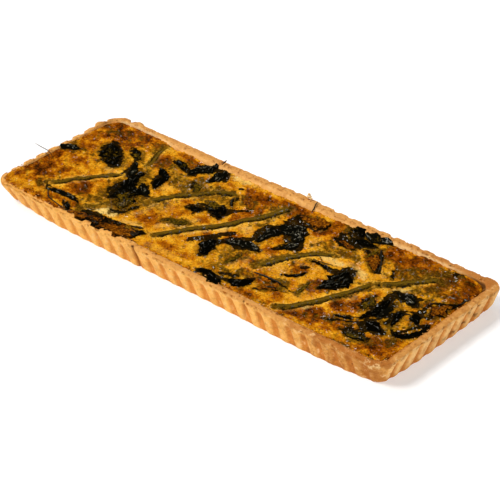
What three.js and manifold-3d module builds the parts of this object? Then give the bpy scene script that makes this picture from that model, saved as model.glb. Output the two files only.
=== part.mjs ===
// A long rectangular spinach quiche: a fluted shortcrust case, a baked custard filling that runs
// through it, and spinach stalks and wilted leaves set in the top of the custard.
// Millimetres, +Z up. The long side runs along X and the origin is the middle of the underside.

import * as THREE from 'three';
import { mergeVertices } from 'three/addons/utils/BufferGeometryUtils.js';
import Module from 'manifold-3d';

const wasm = await Module();
wasm.setup();

// Case
const caseLength = 360;
const caseWidth = 130;
const caseHeight = 18.5;
const cornerRadius = 14;
const footInset = 4;
const wallThickness = 5.1;
const wallThicknessDrift = { alongX: 0.9, alongY: 0.25 };
const wallTaper = (footInset - 1.5) / (caseHeight - 4.5);
const floorThickness = 4.5;

// Flutes, counted by the notches between them
const longSideNotches = 27;
const shortSideNotches = 9;
const longSidePitch = 12.54;
const shortSidePitch = 12.4;
const stepsPerFlute = 4;
const stepsPerCorner = 8;
const innerWallStride = 3;

// Sections of the fluted wall, from the foot to the rim: height, inset from the widest outline,
// and depth of the notches, which fade out under the rim
const wallSections = [
  { z: 0, inset: footInset + 0.6, depth: 0.5 },
  { z: 1.6, inset: footInset - 0.4, depth: 1.1 },
  { z: 14.8, inset: 0.7, depth: 1.8 },
  { z: 17.3, inset: 0, depth: 0.8 },
  { z: caseHeight, inset: 0.6, depth: 0.3 },
];

// Filling
const fillingLevel = 16.8;
const fillingCellsLong = 52;
const fillingCellsWide = 19;
const gap = 0.3;

// Leaves and stalks
const leafThickness = 0.9;
const leafClearance = 0.45;
const leafCell = 4.6;
const stalkSides = 7;
const stalkStep = 8;
const stalkSink = 0.5;

const colours = {
  crust: 0xd79a55,
  custard: 0xdc9a30,
  stalk: 0x5f4c1a,
  dark: 0x15140d,
  grey: 0x2a2a22,
  olive: 0x3f3512,
  brown: 0x4a2c0c,
};

function material(colour, roughness) {
  return new THREE.MeshStandardMaterial({ color: colour, roughness, metalness: 0 });
}

function part(name, geometry, colour, roughness) {
  const mesh = new THREE.Mesh(geometry, material(colour, roughness));
  mesh.name = name;
  return mesh;
}

function indexedGeometry(points, triangles) {
  const geometry = new THREE.BufferGeometry().setFromPoints(points);
  geometry.setIndex(triangles);
  geometry.computeVertexNormals();
  return geometry;
}

function toSolid(geometry) {
  const bare = geometry.clone();
  bare.deleteAttribute('normal');
  bare.deleteAttribute('uv');
  const merged = mergeVertices(bare, 1e-4);
  const mesh = new wasm.Mesh({
    numProp: 3,
    vertProperties: Float32Array.from(merged.attributes.position.array),
    triVerts: Uint32Array.from(merged.index.array),
  });
  return new wasm.Manifold(mesh);
}

function fromSolid(solid) {
  const mesh = solid.getMesh();
  const geometry = new THREE.BufferGeometry();
  geometry.setAttribute('position', new THREE.BufferAttribute(mesh.vertProperties, 3));
  geometry.setIndex(new THREE.BufferAttribute(mesh.triVerts, 1));
  geometry.computeVertexNormals();
  return geometry;
}

// A rise from 0 to 1 as value goes from low to high
function ramp(value, low, high) {
  return THREE.MathUtils.smoothstep(value, low, high);
}

// A round hill of height 1 at (x0, y0) that fades over the given reach
function hill(x, y, x0, y0, reach) {
  return Math.exp(-((x - x0) ** 2 + (y - y0) ** 2) / reach ** 2);
}

// The rim dips in front of the left end, stands up in two knobs at the back left corner and
// along the middle of the back, and wanders slightly all round
function rimLevel(x, y) {
  const dip = 0.9 * ramp(-y, 20, 60) * Math.exp(-(((x + caseLength / 2) / 50) ** 2));
  const knobs = 1.5 * hill(x, y, -178, 42, 9) + 0.9 * hill(x, y, -157, 63, 8);
  const backRise = 0.9 * ramp(y, 40, 60) * Math.exp(-(((x - 2) / 30) ** 2));
  return caseHeight - dip + knobs + backRise - 0.25 + 0.25 * Math.sin(x / 17 + y / 40);
}

// The baked top of the custard: level with the rim in front and at the left end, lower at the
// back, sunk into both right-hand corners, and puffed all over
function fillingHeight(x, y) {
  const leftRise = 0.7 * Math.exp(-(((x + caseLength / 2) / 22) ** 2));
  const frontRise = 0.5 * ramp(-y, 32, 58);
  const backSag = 0.6 * ramp(y, 36, 57);
  const cornerSink = 1.6 * hill(x, y, 172, 57, 11) + 0.9 * hill(x, y, 172, -57, 8);
  const swell = 0.3 * Math.sin(x / 9.1 + 1.3) * Math.cos(y / 7.3) + 0.25 * Math.sin((x + y) / 13.7);
  const puffs = 0.3 * Math.sin(x / 4.9 + y / 11) * Math.sin(y / 5.3 + 0.7);
  return fillingLevel + leftRise + frontRise - backSag - cornerSink + swell + puffs;
}

// Points round the widest outline of the case, each with its outward direction and how far into
// a notch it lies, from 0 on a crest to 1 in a notch
function outlineStations() {
  const halfX = caseLength / 2;
  const halfY = caseWidth / 2;
  const path = new THREE.Path();
  path.moveTo(-halfX + cornerRadius, -halfY);
  path.lineTo(halfX - cornerRadius, -halfY);
  path.absarc(halfX - cornerRadius, -halfY + cornerRadius, cornerRadius, -Math.PI / 2, 0);
  path.lineTo(halfX, halfY - cornerRadius);
  path.absarc(halfX - cornerRadius, halfY - cornerRadius, cornerRadius, 0, Math.PI / 2);
  path.lineTo(-halfX + cornerRadius, halfY);
  path.absarc(-halfX + cornerRadius, halfY - cornerRadius, cornerRadius, Math.PI / 2, Math.PI);
  path.lineTo(-halfX, -halfY + cornerRadius);
  path.absarc(-halfX + cornerRadius, -halfY + cornerRadius, cornerRadius, Math.PI, Math.PI * 1.5);

  const around = path.getLength();
  const longRun = caseLength - 2 * cornerRadius;
  const shortRun = caseWidth - 2 * cornerRadius;
  const quarterArc = (around - 2 * longRun - 2 * shortRun) / 4;
  const notches = [];
  let start = 0;
  for (let side = 0; side < 4; side += 1) {
    const long = side % 2 === 0;
    const run = long ? longRun : shortRun;
    const count = long ? longSideNotches : shortSideNotches;
    const pitch = long ? longSidePitch : shortSidePitch;
    const first = start + (run - (count - 1) * pitch) / 2;
    for (let i = 0; i < count; i += 1) notches.push(first + i * pitch);
    start += run + quarterArc;
  }

  const stations = [];
  notches.forEach((from, i) => {
    const to = i + 1 < notches.length ? notches[i + 1] : notches[0] + around;
    const corner = to - from > 1.5 * longSidePitch;
    const steps = corner ? stepsPerCorner : stepsPerFlute;
    for (let j = 0; j < steps; j += 1) {
      const along = ((from + ((to - from) * j) / steps) / around + 1) % 1;
      const point = path.getPoint(along);
      const tangent = path.getTangent(along);
      const crest = Math.sin((Math.PI * j) / steps);
      stations.push({
        x: point.x,
        y: point.y,
        outX: tangent.y,
        outY: -tangent.x,
        notch: 1 - (corner ? crest ** 0.3 : crest),
      });
    }
  });
  return stations;
}

const stations = outlineStations();

// How far the foot of the wall stands out: it slumps outwards right of the middle of the front,
// and is drawn in at both front corners
function footSlump({ x, y, outY }, z) {
  const slump = 1.6 * ramp(-outY, 0.6, 1) * Math.exp(-(((x - 105) / 48) ** 2));
  const tuck = 2.8 * hill(Math.abs(x), y, caseLength / 2, -caseWidth / 2, 26);
  return (slump - tuck) * Math.max(0, 1 - z / 14.8);
}

function fluteRing({ z, inset, depth }) {
  return stations.map((station) => {
    const inward = inset + depth * station.notch - footSlump(station, z);
    const x = station.x - station.outX * inward;
    const y = station.y - station.outY * inward;
    return new THREE.Vector3(x, y, (z * rimLevel(x, y)) / caseHeight);
  });
}

// A plain ring on the inner face of the wall, moved inwards by the given clearance
function innerRing(z, clearance, atRim = false) {
  return stations
    .filter((station, i) => i % innerWallStride === 0)
    .map((station) => {
      const drift = wallThicknessDrift.alongX * station.outX + wallThicknessDrift.alongY * station.outY;
      const inward = wallThickness + drift + (caseHeight - z) * wallTaper + clearance;
      const x = station.x - station.outX * inward;
      const y = station.y - station.outY * inward;
      return new THREE.Vector3(x, y, atRim ? rimLevel(x, y) : z);
    });
}

function flat(ring) {
  return ring.map((point) => new THREE.Vector2(point.x, point.y));
}

// Joins rings that run counterclockwise, each above the one before, into a wall facing outwards
function wallTriangles(rings, firstIndex) {
  const triangles = [];
  for (let level = 0; level + 1 < rings.length; level += 1) {
    const count = rings[level].length;
    const low = firstIndex + level * count;
    for (let i = 0; i < count; i += 1) {
      const next = (i + 1) % count;
      triangles.push(low + i, low + next, low + count + next);
      triangles.push(low + i, low + count + next, low + count + i);
    }
  }
  return triangles;
}

function reversed(triangles) {
  const turned = [];
  for (let i = 0; i < triangles.length; i += 3) {
    turned.push(triangles[i], triangles[i + 2], triangles[i + 1]);
  }
  return turned;
}

function capTriangles(ring, firstIndex) {
  return THREE.ShapeUtils.triangulateShape(flat(ring), []).flat().map((i) => i + firstIndex);
}

function caseGeometry() {
  const outer = wallSections.map(fluteRing);
  const inner = [innerRing(floorThickness, 0), innerRing(caseHeight, 0, true)];
  const innerStart = outer.length * outer[0].length;
  const rimStart = (outer.length - 1) * outer[0].length;
  const innerRimStart = innerStart + inner[0].length;
  const rimTop = THREE.ShapeUtils.triangulateShape(flat(outer.at(-1)), [flat(inner[1])])
    .flat()
    .map((i) => (i < outer[0].length ? rimStart + i : innerRimStart + i - outer[0].length));
  return indexedGeometry([...outer.flat(), ...inner.flat()], [
    ...wallTriangles(outer, 0),
    ...rimTop,
    ...reversed(wallTriangles(inner, innerStart)),
    ...capTriangles(inner[0], innerStart),
    ...reversed(capTriangles(outer[0], 0)),
  ]);
}

function cavityGeometry() {
  const rings = [innerRing(floorThickness + gap, gap), innerRing(caseHeight + 8, gap)];
  return indexedGeometry(rings.flat(), [
    ...wallTriangles(rings, 0),
    ...capTriangles(rings[1], rings[0].length),
    ...reversed(capTriangles(rings[0], 0)),
  ]);
}

function fillingBlock() {
  const depth = 10;
  const block = new THREE.BoxGeometry(caseLength, caseWidth, depth, fillingCellsLong, fillingCellsWide, 1);
  const position = block.attributes.position;
  for (let i = 0; i < position.count; i += 1) {
    const top = position.getZ(i) > 0;
    position.setZ(i, top ? fillingHeight(position.getX(i), position.getY(i)) : 0);
  }
  return block;
}

// Stalks, each by the points that its middle line passes and its width at both ends
const stalks = [
  { name: 'stalk_1', line: [[-146, -42], [-139, -34], [-129, -19], [-119, -6], [-114, 1]], widths: [5.5, 4] },
  { name: 'stalk_2_foot', line: [[-99, -46], [-94, -41], [-89, -37]], widths: [5, 5] },
  { name: 'stalk_2', line: [[-72, -14], [-62, 4], [-54, 15], [-47, 26], [-39, 32], [-30, 34]], widths: [6, 4.5] },
  { name: 'stalk_3', line: [[-38, -43], [-30, -31], [-20, -14], [-11, -2], [-3, 13], [4, 27], [7, 38], [9, 46]], widths: [6, 4.5] },
  { name: 'stalk_4', line: [[41, -26], [46, -11], [51, 1], [58, 10], [66, 16], [73, 19]], widths: [6, 4.5] },
  { name: 'stalk_5', line: [[83, -55], [90, -47], [100, -30], [107, -16], [113, -4], [115, 7]], widths: [6.5, 4.5] },
  { name: 'stalk_6', line: [[121, 11], [130, 20], [138, 29], [145, 39], [149, 47]], widths: [6, 4.5] },
  { name: 'stalk_7', line: [[-117, 52], [-115, 42], [-111, 32], [-109, 25]], widths: [3.5, 3.5] },
];

function stalkGeometry({ line, widths }, extra) {
  const points = line.map(([x, y]) => new THREE.Vector3(x, y, fillingHeight(x, y) - stalkSink));
  const firstStep = points[0].clone().sub(points[1]).setLength(extra);
  const lastStep = points.at(-1).clone().sub(points.at(-2)).setLength(extra);
  points[0].add(firstStep);
  points.at(-1).add(lastStep);
  const path = new THREE.CatmullRomCurve3(points);
  const steps = Math.ceil(path.getLength() / stalkStep);
  const section = new THREE.Shape();
  for (let i = 0; i < stalkSides; i += 1) {
    const angle = (2 * Math.PI * i) / stalkSides;
    section[i ? 'lineTo' : 'moveTo'](Math.cos(angle), Math.sin(angle));
  }
  const tube = new THREE.ExtrudeGeometry(section, { steps, extrudePath: path, bevelEnabled: false });
  const middle = path.getSpacedPoints(steps);
  const position = tube.attributes.position;
  const vertex = new THREE.Vector3();
  for (let i = 0; i < position.count; i += 1) {
    vertex.fromBufferAttribute(position, i);
    const distances = middle.map((point) => point.distanceTo(vertex));
    const nearest = distances.indexOf(Math.min(...distances));
    const radius = THREE.MathUtils.lerp(widths[0], widths[1], nearest / steps) / 2 + extra;
    vertex.sub(middle[nearest]).multiplyScalar(radius).add(middle[nearest]);
    position.setXYZ(i, vertex.x, vertex.y, vertex.z);
  }
  return tube;
}

// Leaves, each by the points of its middle line and its full width at each of them. rise is how
// far its raised folds stand above the filling, and tip how far its first point is lifted.
const leaves = [
  { name: 'leaf_01', look: 'dark', line: [[-177, -1], [-171, 5], [-163, 8]], widths: [3, 7, 4], rise: 1.6 },
  { name: 'leaf_02', look: 'brown', line: [[-152, 30], [-142, 20], [-133, 12], [-124, 5]], widths: [6, 15, 16, 8], rise: 1.4 },
  { name: 'leaf_03', look: 'brown', line: [[-131, 35], [-125, 31], [-119, 26]], widths: [3, 7, 4], rise: 0.8 },
  { name: 'leaf_04', look: 'dark', line: [[-112, 16], [-111, 11], [-108, 4]], widths: [2, 8, 6], rise: 1.5, tip: 5.5 },
  { name: 'leaf_05', look: 'dark', line: [[-103, 14], [-102, 3], [-98, -9], [-89, -21], [-80, -33]], widths: [4, 7, 15, 26, 13], rise: 2 },
  { name: 'leaf_06', look: 'dark', line: [[-98, 27], [-91, 20], [-85, 12], [-83, 4]], widths: [3, 6, 7, 4], rise: 1.4 },
  { name: 'leaf_07', look: 'grey', line: [[-91, 2], [-86, -2], [-80, -8]], widths: [3, 6, 5], rise: 2 },
  { name: 'leaf_08', look: 'grey', line: [[-71, 56], [-73, 48], [-75, 41], [-75, 34]], widths: [8, 13, 9, 4], rise: 2.4 },
  { name: 'leaf_09', look: 'grey', line: [[-63, 55], [-57, 48], [-51, 41]], widths: [5, 10, 7], rise: 2.4 },
  { name: 'leaf_10', look: 'brown', line: [[-96, 44], [-89, 40], [-83, 36]], widths: [4, 5, 4], rise: 1 },
  { name: 'leaf_11', look: 'brown', line: [[-65, 29], [-60, 24], [-56, 19]], widths: [4, 5, 3], rise: 0.8 },
  { name: 'leaf_12', look: 'dark', line: [[-21, 18], [-21, 11], [-22, 3]], widths: [17, 12, 4], rise: 1.6 },
  { name: 'leaf_13', look: 'dark', line: [[-29, 29], [-27, 25], [-25, 22]], widths: [2, 2.5, 2], rise: 0.6 },
  { name: 'leaf_14', look: 'brown', line: [[-25, 38], [-18, 33], [-11, 28]], widths: [4, 7, 5], rise: 0.8 },
  { name: 'leaf_15', look: 'brown', line: [[-47, 0], [-40, 3], [-34, 8]], widths: [4, 6, 6], rise: 0.9 },
  { name: 'leaf_16', look: 'brown', line: [[-104, -62], [-92, -60], [-76, -57], [-59, -55], [-43, -46]], widths: [3, 8, 14, 15, 3], rise: 1.6 },
  { name: 'leaf_17', look: 'grey', line: [[-142, -47], [-135, -47], [-127, -45], [-118, -46], [-108, -48]], widths: [2, 4, 5, 4, 2], rise: 1.5 },
  { name: 'leaf_18', look: 'dark', line: [[-116, -52], [-111, -56], [-107, -59]], widths: [2, 4, 3], rise: 0.8 },
  { name: 'leaf_19', look: 'dark', line: [[-9, -14], [-5, -25], [1, -38]], widths: [7, 15, 8], rise: 1.8 },
  { name: 'leaf_20', look: 'grey', line: [[3, -18], [10, -14], [19, -11], [30, -12]], widths: [4, 8, 8, 3], rise: 2.2 },
  { name: 'leaf_21', look: 'dark', line: [[20, -3], [18, 8], [21, 21], [31, 28], [41, 26], [44, 17], [41, 8], [36, 1]], widths: [4, 8, 12, 14, 12, 10, 9, 5], rise: 1.8 },
  { name: 'leaf_22', look: 'brown', line: [[24, 43], [34, 43], [42, 44], [46, 38]], widths: [5, 6, 6, 4], rise: 1.2 },
  { name: 'leaf_23', look: 'dark', line: [[60, 59], [63, 54], [67, 48]], widths: [4, 9, 6], rise: 1.8 },
  { name: 'leaf_24', look: 'olive', line: [[71, 55], [78, 55], [86, 57], [93, 56]], widths: [5, 7, 4, 2], rise: 1.6 },
  { name: 'leaf_25', look: 'dark', line: [[72, 44], [78, 45], [85, 46]], widths: [7, 9, 6], rise: 1.2 },
  { name: 'leaf_26', look: 'brown', line: [[62, 37], [70, 35], [80, 36]], widths: [7, 8, 6], rise: 0.8 },
  { name: 'leaf_27', look: 'olive', line: [[89, 45], [90, 37], [90, 30]], widths: [3, 3, 2], rise: 0.6 },
  { name: 'leaf_28', look: 'brown', line: [[95, 38], [101, 31], [108, 23]], widths: [6, 11, 7], rise: 1.2 },
  { name: 'leaf_29', look: 'dark', line: [[94, 6], [95, -3], [93, -11], [91, -18]], widths: [17, 20, 12, 4], rise: 2 },
  { name: 'leaf_30', look: 'dark', line: [[65, 3], [73, 4], [80, 4]], widths: [2, 3, 2], rise: 0.6 },
  { name: 'leaf_31', look: 'olive', line: [[82, -17], [83, -25], [84, -33]], widths: [3, 5, 3], rise: 0.6 },
  { name: 'leaf_32', look: 'dark', line: [[61, -22], [68, -18], [71, -9]], widths: [2, 3, 2], rise: 0.8 },
  { name: 'leaf_33', look: 'dark', line: [[14, -55], [22, -54], [31, -57], [38, -60]], widths: [5, 8, 8, 3], rise: 1.6 },
  { name: 'leaf_34', look: 'dark', line: [[37, -51], [44, -50], [49, -46], [50, -40]], widths: [4, 7, 9, 4], rise: 1.6 },
  { name: 'leaf_35', look: 'brown', line: [[60, -47], [63, -39], [67, -32]], widths: [6, 13, 15], rise: 1.2 },
  { name: 'leaf_36', look: 'grey', line: [[132, 11], [141, 8], [151, 6]], widths: [8, 14, 10], rise: 2.6 },
  { name: 'leaf_37', look: 'dark', line: [[132, 1], [133, -10], [132, -20], [131, -28]], widths: [5, 6, 5, 4], rise: 1.8 },
  { name: 'leaf_38', look: 'grey', line: [[140, -4], [140, -13], [140, -22]], widths: [5, 6, 4], rise: 1.8 },
  { name: 'leaf_39', look: 'dark', line: [[148, -5], [150, -13], [153, -22]], widths: [6, 6, 4], rise: 1.8 },
  { name: 'leaf_40', look: 'dark', line: [[136, -32], [144, -32], [153, -34]], widths: [9, 13, 9], rise: 2.4 },
  { name: 'leaf_41', look: 'grey', line: [[134, -47], [143, -47], [152, -47]], widths: [8, 13, 9], rise: 2.2 },
  { name: 'leaf_42', look: 'dark', line: [[117, -37], [123, -34], [128, -32]], widths: [2, 3, 3], rise: 0.8 },
  { name: 'leaf_43', look: 'brown', line: [[123, -3], [125, -11], [126, -19]], widths: [5, 7, 5], rise: 1.2 },
  { name: 'leaf_44', look: 'brown', line: [[172, 27], [167, 19], [165, 10], [165, 2]], widths: [3, 10, 12, 9], rise: 1.6 },
  { name: 'leaf_45', look: 'dark', line: [[155, 0], [159, -5], [164, -9]], widths: [5, 7, 4], rise: 1.4 },
  { name: 'leaf_46', look: 'dark', line: [[156, -24], [161, -28], [167, -24], [170, -16], [169, -6]], widths: [2, 5, 7, 7, 3], rise: 1.6 },
  { name: 'leaf_47', look: 'olive', line: [[-47, -24], [-38, -20], [-30, -16]], widths: [6, 8, 6], rise: 0.5 },
  { name: 'leaf_48', look: 'olive', line: [[23, -21], [23, -29], [21, -37]], widths: [3, 4, 3], rise: 0.5 },
];

// What a leaf lies on: the filling, and the rim of the case where it laps over it
function ground(x, y) {
  const inner = wallThickness - 1;
  const past = Math.max(Math.abs(x) - caseLength / 2 + inner, Math.abs(y) - caseWidth / 2 + inner);
  const onRim = ramp(past, -6, -1.5);
  const rim = Math.max(rimLevel(x, y) + 0.2, fillingHeight(x, y));
  return THREE.MathUtils.lerp(fillingHeight(x, y), rim, onRim);
}

function leafGeometry({ line, widths, rise, tip = 0 }, seed) {
  const spine = new THREE.SplineCurve(line.map(([x, y]) => new THREE.Vector2(x, y)));
  const widest = Math.max(...widths);
  const cellsLong = THREE.MathUtils.clamp(Math.round(spine.getLength() / leafCell), 3, 16);
  const cellsWide = THREE.MathUtils.clamp(Math.round(widest / leafCell) + 1, 2, 4);
  const over = [];
  const under = [];
  for (let i = 0; i <= cellsLong; i += 1) {
    const along = i / cellsLong;
    const middle = spine.getPoint(along);
    const tangent = spine.getTangent(along);
    const slot = along * (widths.length - 1);
    const low = Math.min(Math.floor(slot), widths.length - 2);
    const half = THREE.MathUtils.lerp(widths[low], widths[low + 1], slot - low) / 2;
    for (let j = 0; j <= cellsWide; j += 1) {
      const across = (2 * j) / cellsWide - 1;
      const ragged = 1 + 0.14 * Math.sin(5.1 * along * (line.length - 1) + 2 * seed + across);
      const x = middle.x - tangent.y * half * across * ragged;
      const y = middle.y + tangent.x * half * across * ragged;
      const fold = 0.5 + 0.5 * Math.sin(7 * along + 2.6 * across + 1.7 * seed);
      const z = ground(x, y) + leafClearance + rise * fold + tip * (1 - along) ** 2;
      under.push(new THREE.Vector3(x, y, z));
      over.push(new THREE.Vector3(x, y, z + leafThickness));
    }
  }

  const row = cellsWide + 1;
  const face = [];
  for (let i = 0; i < cellsLong; i += 1) {
    for (let j = 0; j < cellsWide; j += 1) {
      const a = i * row + j;
      face.push(a, a + row, a + row + 1, a, a + row + 1, a + 1);
    }
  }
  const edge = [];
  for (let i = 0; i < cellsLong; i += 1) edge.push(i * row);
  for (let j = 0; j < cellsWide; j += 1) edge.push(cellsLong * row + j);
  for (let i = cellsLong; i > 0; i -= 1) edge.push(i * row + cellsWide);
  for (let j = cellsWide; j > 0; j -= 1) edge.push(j);
  const triangles = [...face, ...reversed(face).map((i) => i + over.length)];
  edge.forEach((a, i) => {
    const b = edge[(i + 1) % edge.length];
    triangles.push(a, a + over.length, b + over.length, a, b + over.length, b);
  });
  return indexedGeometry([...over, ...under], triangles);
}

// Scraps of leaf baked onto the custard: place and size across
const scraps = [
  [-35, 44, 5], [-134, -56, 4], [-44, 52, 3], [-62, 38, 4], [-36, -6, 4], [67, -8, 5], [54, -13, 3],
  [16, -29, 4], [58, 37, 4], [112, 32, 4], [118, 25, 4], [104, -56, 4], [-160, 40, 3.5], [146, 56, 5],
];

function scrapSolid([x, y, size]) {
  const scrap = new THREE.IcosahedronGeometry(size / 2);
  scrap.scale(1, 0.8, 0.32);
  scrap.rotateZ(x);
  scrap.translate(x, y, fillingHeight(x, y) + 0.2);
  return toSolid(scrap);
}

function fillingGeometry() {
  let filling = toSolid(fillingBlock()).intersect(toSolid(cavityGeometry()));
  scraps.forEach((scrap) => {
    filling = filling.add(scrapSolid(scrap));
  });
  stalks.forEach((stalk) => {
    filling = filling.subtract(toSolid(stalkGeometry(stalk, gap)));
  });
  return fromSolid(filling);
}

const quiche = new THREE.Group();
quiche.add(part('crust', caseGeometry(), colours.crust, 0.75));
quiche.add(part('custard', fillingGeometry(), colours.custard, 0.5));
stalks.forEach((stalk) => {
  quiche.add(part(stalk.name, stalkGeometry(stalk, 0), colours.stalk, 0.45));
});
leaves.forEach((leaf, i) => {
  quiche.add(part(leaf.name, leafGeometry(leaf, i), colours[leaf.look], 0.35));
});

export default quiche;
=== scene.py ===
"""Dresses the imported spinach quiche: pastry case, baked custard, stalks, wilted leaves and trimmings.

Shapes are worked out in millimetres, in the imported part's own frame, and become metres when a mesh
is made. The case, the custard, each stalk and each leaf replace the node they are named after.
"""

from __future__ import annotations

import logging
import math
from dataclasses import dataclass, field
from enum import Enum
from typing import Sequence

import bpy
import numpy as np
from mathutils import Matrix, Vector

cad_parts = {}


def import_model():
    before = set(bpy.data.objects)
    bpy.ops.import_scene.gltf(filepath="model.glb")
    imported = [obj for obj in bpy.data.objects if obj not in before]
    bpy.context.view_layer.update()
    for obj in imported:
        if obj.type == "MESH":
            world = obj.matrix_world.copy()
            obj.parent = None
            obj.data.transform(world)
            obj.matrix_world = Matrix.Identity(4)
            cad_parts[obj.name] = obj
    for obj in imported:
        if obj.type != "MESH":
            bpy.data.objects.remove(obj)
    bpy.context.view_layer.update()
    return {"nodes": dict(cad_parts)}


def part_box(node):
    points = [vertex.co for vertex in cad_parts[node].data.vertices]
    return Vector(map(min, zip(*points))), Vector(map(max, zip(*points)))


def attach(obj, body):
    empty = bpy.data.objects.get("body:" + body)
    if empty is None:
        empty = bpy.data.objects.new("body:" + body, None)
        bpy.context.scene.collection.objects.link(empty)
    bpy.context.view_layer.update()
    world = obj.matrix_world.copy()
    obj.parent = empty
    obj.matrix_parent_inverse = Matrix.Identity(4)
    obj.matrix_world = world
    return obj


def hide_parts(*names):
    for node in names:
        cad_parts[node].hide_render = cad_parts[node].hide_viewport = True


LOG = logging.getLogger("spinach_quiche")
MM = 0.001
BODY = "root"
CASE_SEED = 11
CUSTARD_SEED = 23
FLECK_SEED = 77
CRUMB_SEED = 78
EGG_SEED = 79
STALK_SEED = 400
LEAF_SEED = 700
Array = np.ndarray
Route = tuple[tuple[float, ...], ...]
Lumps = tuple[tuple[float, float, float, float], ...]
Profile = tuple[tuple[float, float], ...]


class Look(Enum):
    """How a leaf came out of the oven."""

    DARK = "dark"
    GREY = "grey"
    OLIVE = "olive"
    BROWN = "brown"


class Bake(Enum):
    """What a patch does to the custard's top."""

    BROWNED = "browned"
    PALE = "pale"
    GREEN = "green"
    DARK = "dark"


def ramp(value: Array | float, low: float, high: float) -> Array:
    """Rises smoothly from 0 to 1 as the value goes from low to high."""
    part = np.clip((value - low) / (high - low), 0.0, 1.0)
    return part * part * (3.0 - 2.0 * part)


def bell(value: Array, middle: Array | float, width: Array | float) -> Array:
    """Gives a bell of height 1 round the middle that fades over the width."""
    return np.exp(-(((value - middle) / width) ** 2))


def hill(x: Array, y: Array, x0: float, y0: float, reach: float) -> Array:
    """Gives a round hill of height 1 at (x0, y0) that fades over the given reach."""
    return np.exp(-((x - x0) ** 2 + (y - y0) ** 2) / reach**2)


def lumps(x: Array, y: Array, table: Lumps) -> Array:
    """Adds up round hills, given as x, y, height and reach."""
    return sum(height * hill(x, y, x0, y0, reach) for x0, y0, height, reach in table)


def near_front(y: Array) -> Array:
    """Rises from 0 to 1 as y nears the front rim."""
    return ramp(-y, 40, 58)


def lerp(start: Array | float, end: Array | float, part: Array | float) -> Array:
    """Goes from start to end as part goes from 0 to 1."""
    return start + (end - start) * part


def sampled(values: Sequence[float], part: Array) -> Array:
    """Reads values that stand evenly spaced from 0 to 1."""
    return np.interp(part, np.linspace(0, 1, len(values)), values)


def interpolated(value: Array, table: Profile) -> Array:
    """Reads a table of heights and sizes at heights between its own."""
    return np.interp(value, *zip(*table))


def linear(code: str) -> tuple[float, float, float, float]:
    """Turns a hex colour as seen on a screen into the linear values that a shader takes.

    Args:
        code: six hexadecimal digits.

    Returns:
        Red, green, blue and an alpha of 1.
    """
    seen = [int(code[i : i + 2], 16) / 255 for i in (0, 2, 4)]
    values = [c / 12.92 if c <= 0.04045 else ((c + 0.055) / 1.055) ** 2.4 for c in seen]
    return values[0], values[1], values[2], 1.0


class Noise:
    """Seeded smooth noise over a plane."""

    LATTICE = 256
    STRETCH = 1.6
    LAYERED_STRETCH = 1.3
    SHIFT = (11.3, -7.9)

    def __init__(self, seed: int) -> None:
        """Draws the lattice from the seed."""
        draw = np.random.default_rng(seed)
        self._turns = draw.uniform(0.0, 2.0 * np.pi, (self.LATTICE, self.LATTICE))
        self._places = draw.uniform(0.0, 1.0, (self.LATTICE, self.LATTICE, 2))

    def plain(self, u: Array, v: Array) -> Array:
        """Gives one layer of noise with a wavelength of about 1.

        Args:
            u: first coordinates.
            v: second coordinates.

        Returns:
            Values from about -1 to 1.
        """
        column = np.floor(u).astype(int)
        row = np.floor(v).astype(int)
        right = u - column
        up = v - row

        def pull(i: int, j: int) -> Array:
            """Gives the slope at one corner of the cell."""
            turn = self._turns[(column + i) % self.LATTICE, (row + j) % self.LATTICE]
            return np.cos(turn) * (right - i) + np.sin(turn) * (up - j)

        ease_right = right**3 * (right * (right * 6 - 15) + 10)
        ease_up = up**3 * (up * (up * 6 - 15) + 10)
        low = lerp(pull(0, 0), pull(1, 0), ease_right)
        high = lerp(pull(0, 1), pull(1, 1), ease_right)
        return self.STRETCH * lerp(low, high, ease_up)

    def layered(self, x: Array, y: Array, wavelength: float, layers: int = 3, keep: float = 0.5) -> Array:
        """Adds finer and weaker layers to the noise.

        Args:
            x: first coordinates in millimetres.
            y: second coordinates in millimetres.
            wavelength: wavelength of the coarsest layer in millimetres.
            layers: how many layers, each twice as fine as the one before.
            keep: strength of a layer against the one before.

        Returns:
            Values from about -1 to 1.
        """
        total = 0.0
        weight = 0.0
        for layer in range(layers):
            scale = 2.0**layer / wavelength
            strength = keep**layer
            u = x * scale + self.SHIFT[0] * layer
            v = y * scale + self.SHIFT[1] * layer
            total = total + strength * self.plain(u, v)
            weight += strength
        return total / weight * self.LAYERED_STRETCH

    def cells(self, x: Array, y: Array, spacing: float) -> Array:
        """Measures how far places are from the nearest of many seeded points.

        Args:
            x: first coordinates in millimetres.
            y: second coordinates in millimetres.
            spacing: how far apart the points are.

        Returns:
            The distances, in units of the spacing.
        """
        u = x / spacing
        v = y / spacing
        column = np.floor(u).astype(int)
        row = np.floor(v).astype(int)
        nearest = np.full(np.shape(u), 9.0)
        for i in (-1, 0, 1):
            for j in (-1, 0, 1):
                place = self._places[(column + i) % self.LATTICE, (row + j) % self.LATTICE]
                apart = np.hypot(column + i + place[..., 0] - u, row + j + place[..., 1] - v)
                nearest = np.minimum(nearest, apart)
        return nearest


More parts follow.
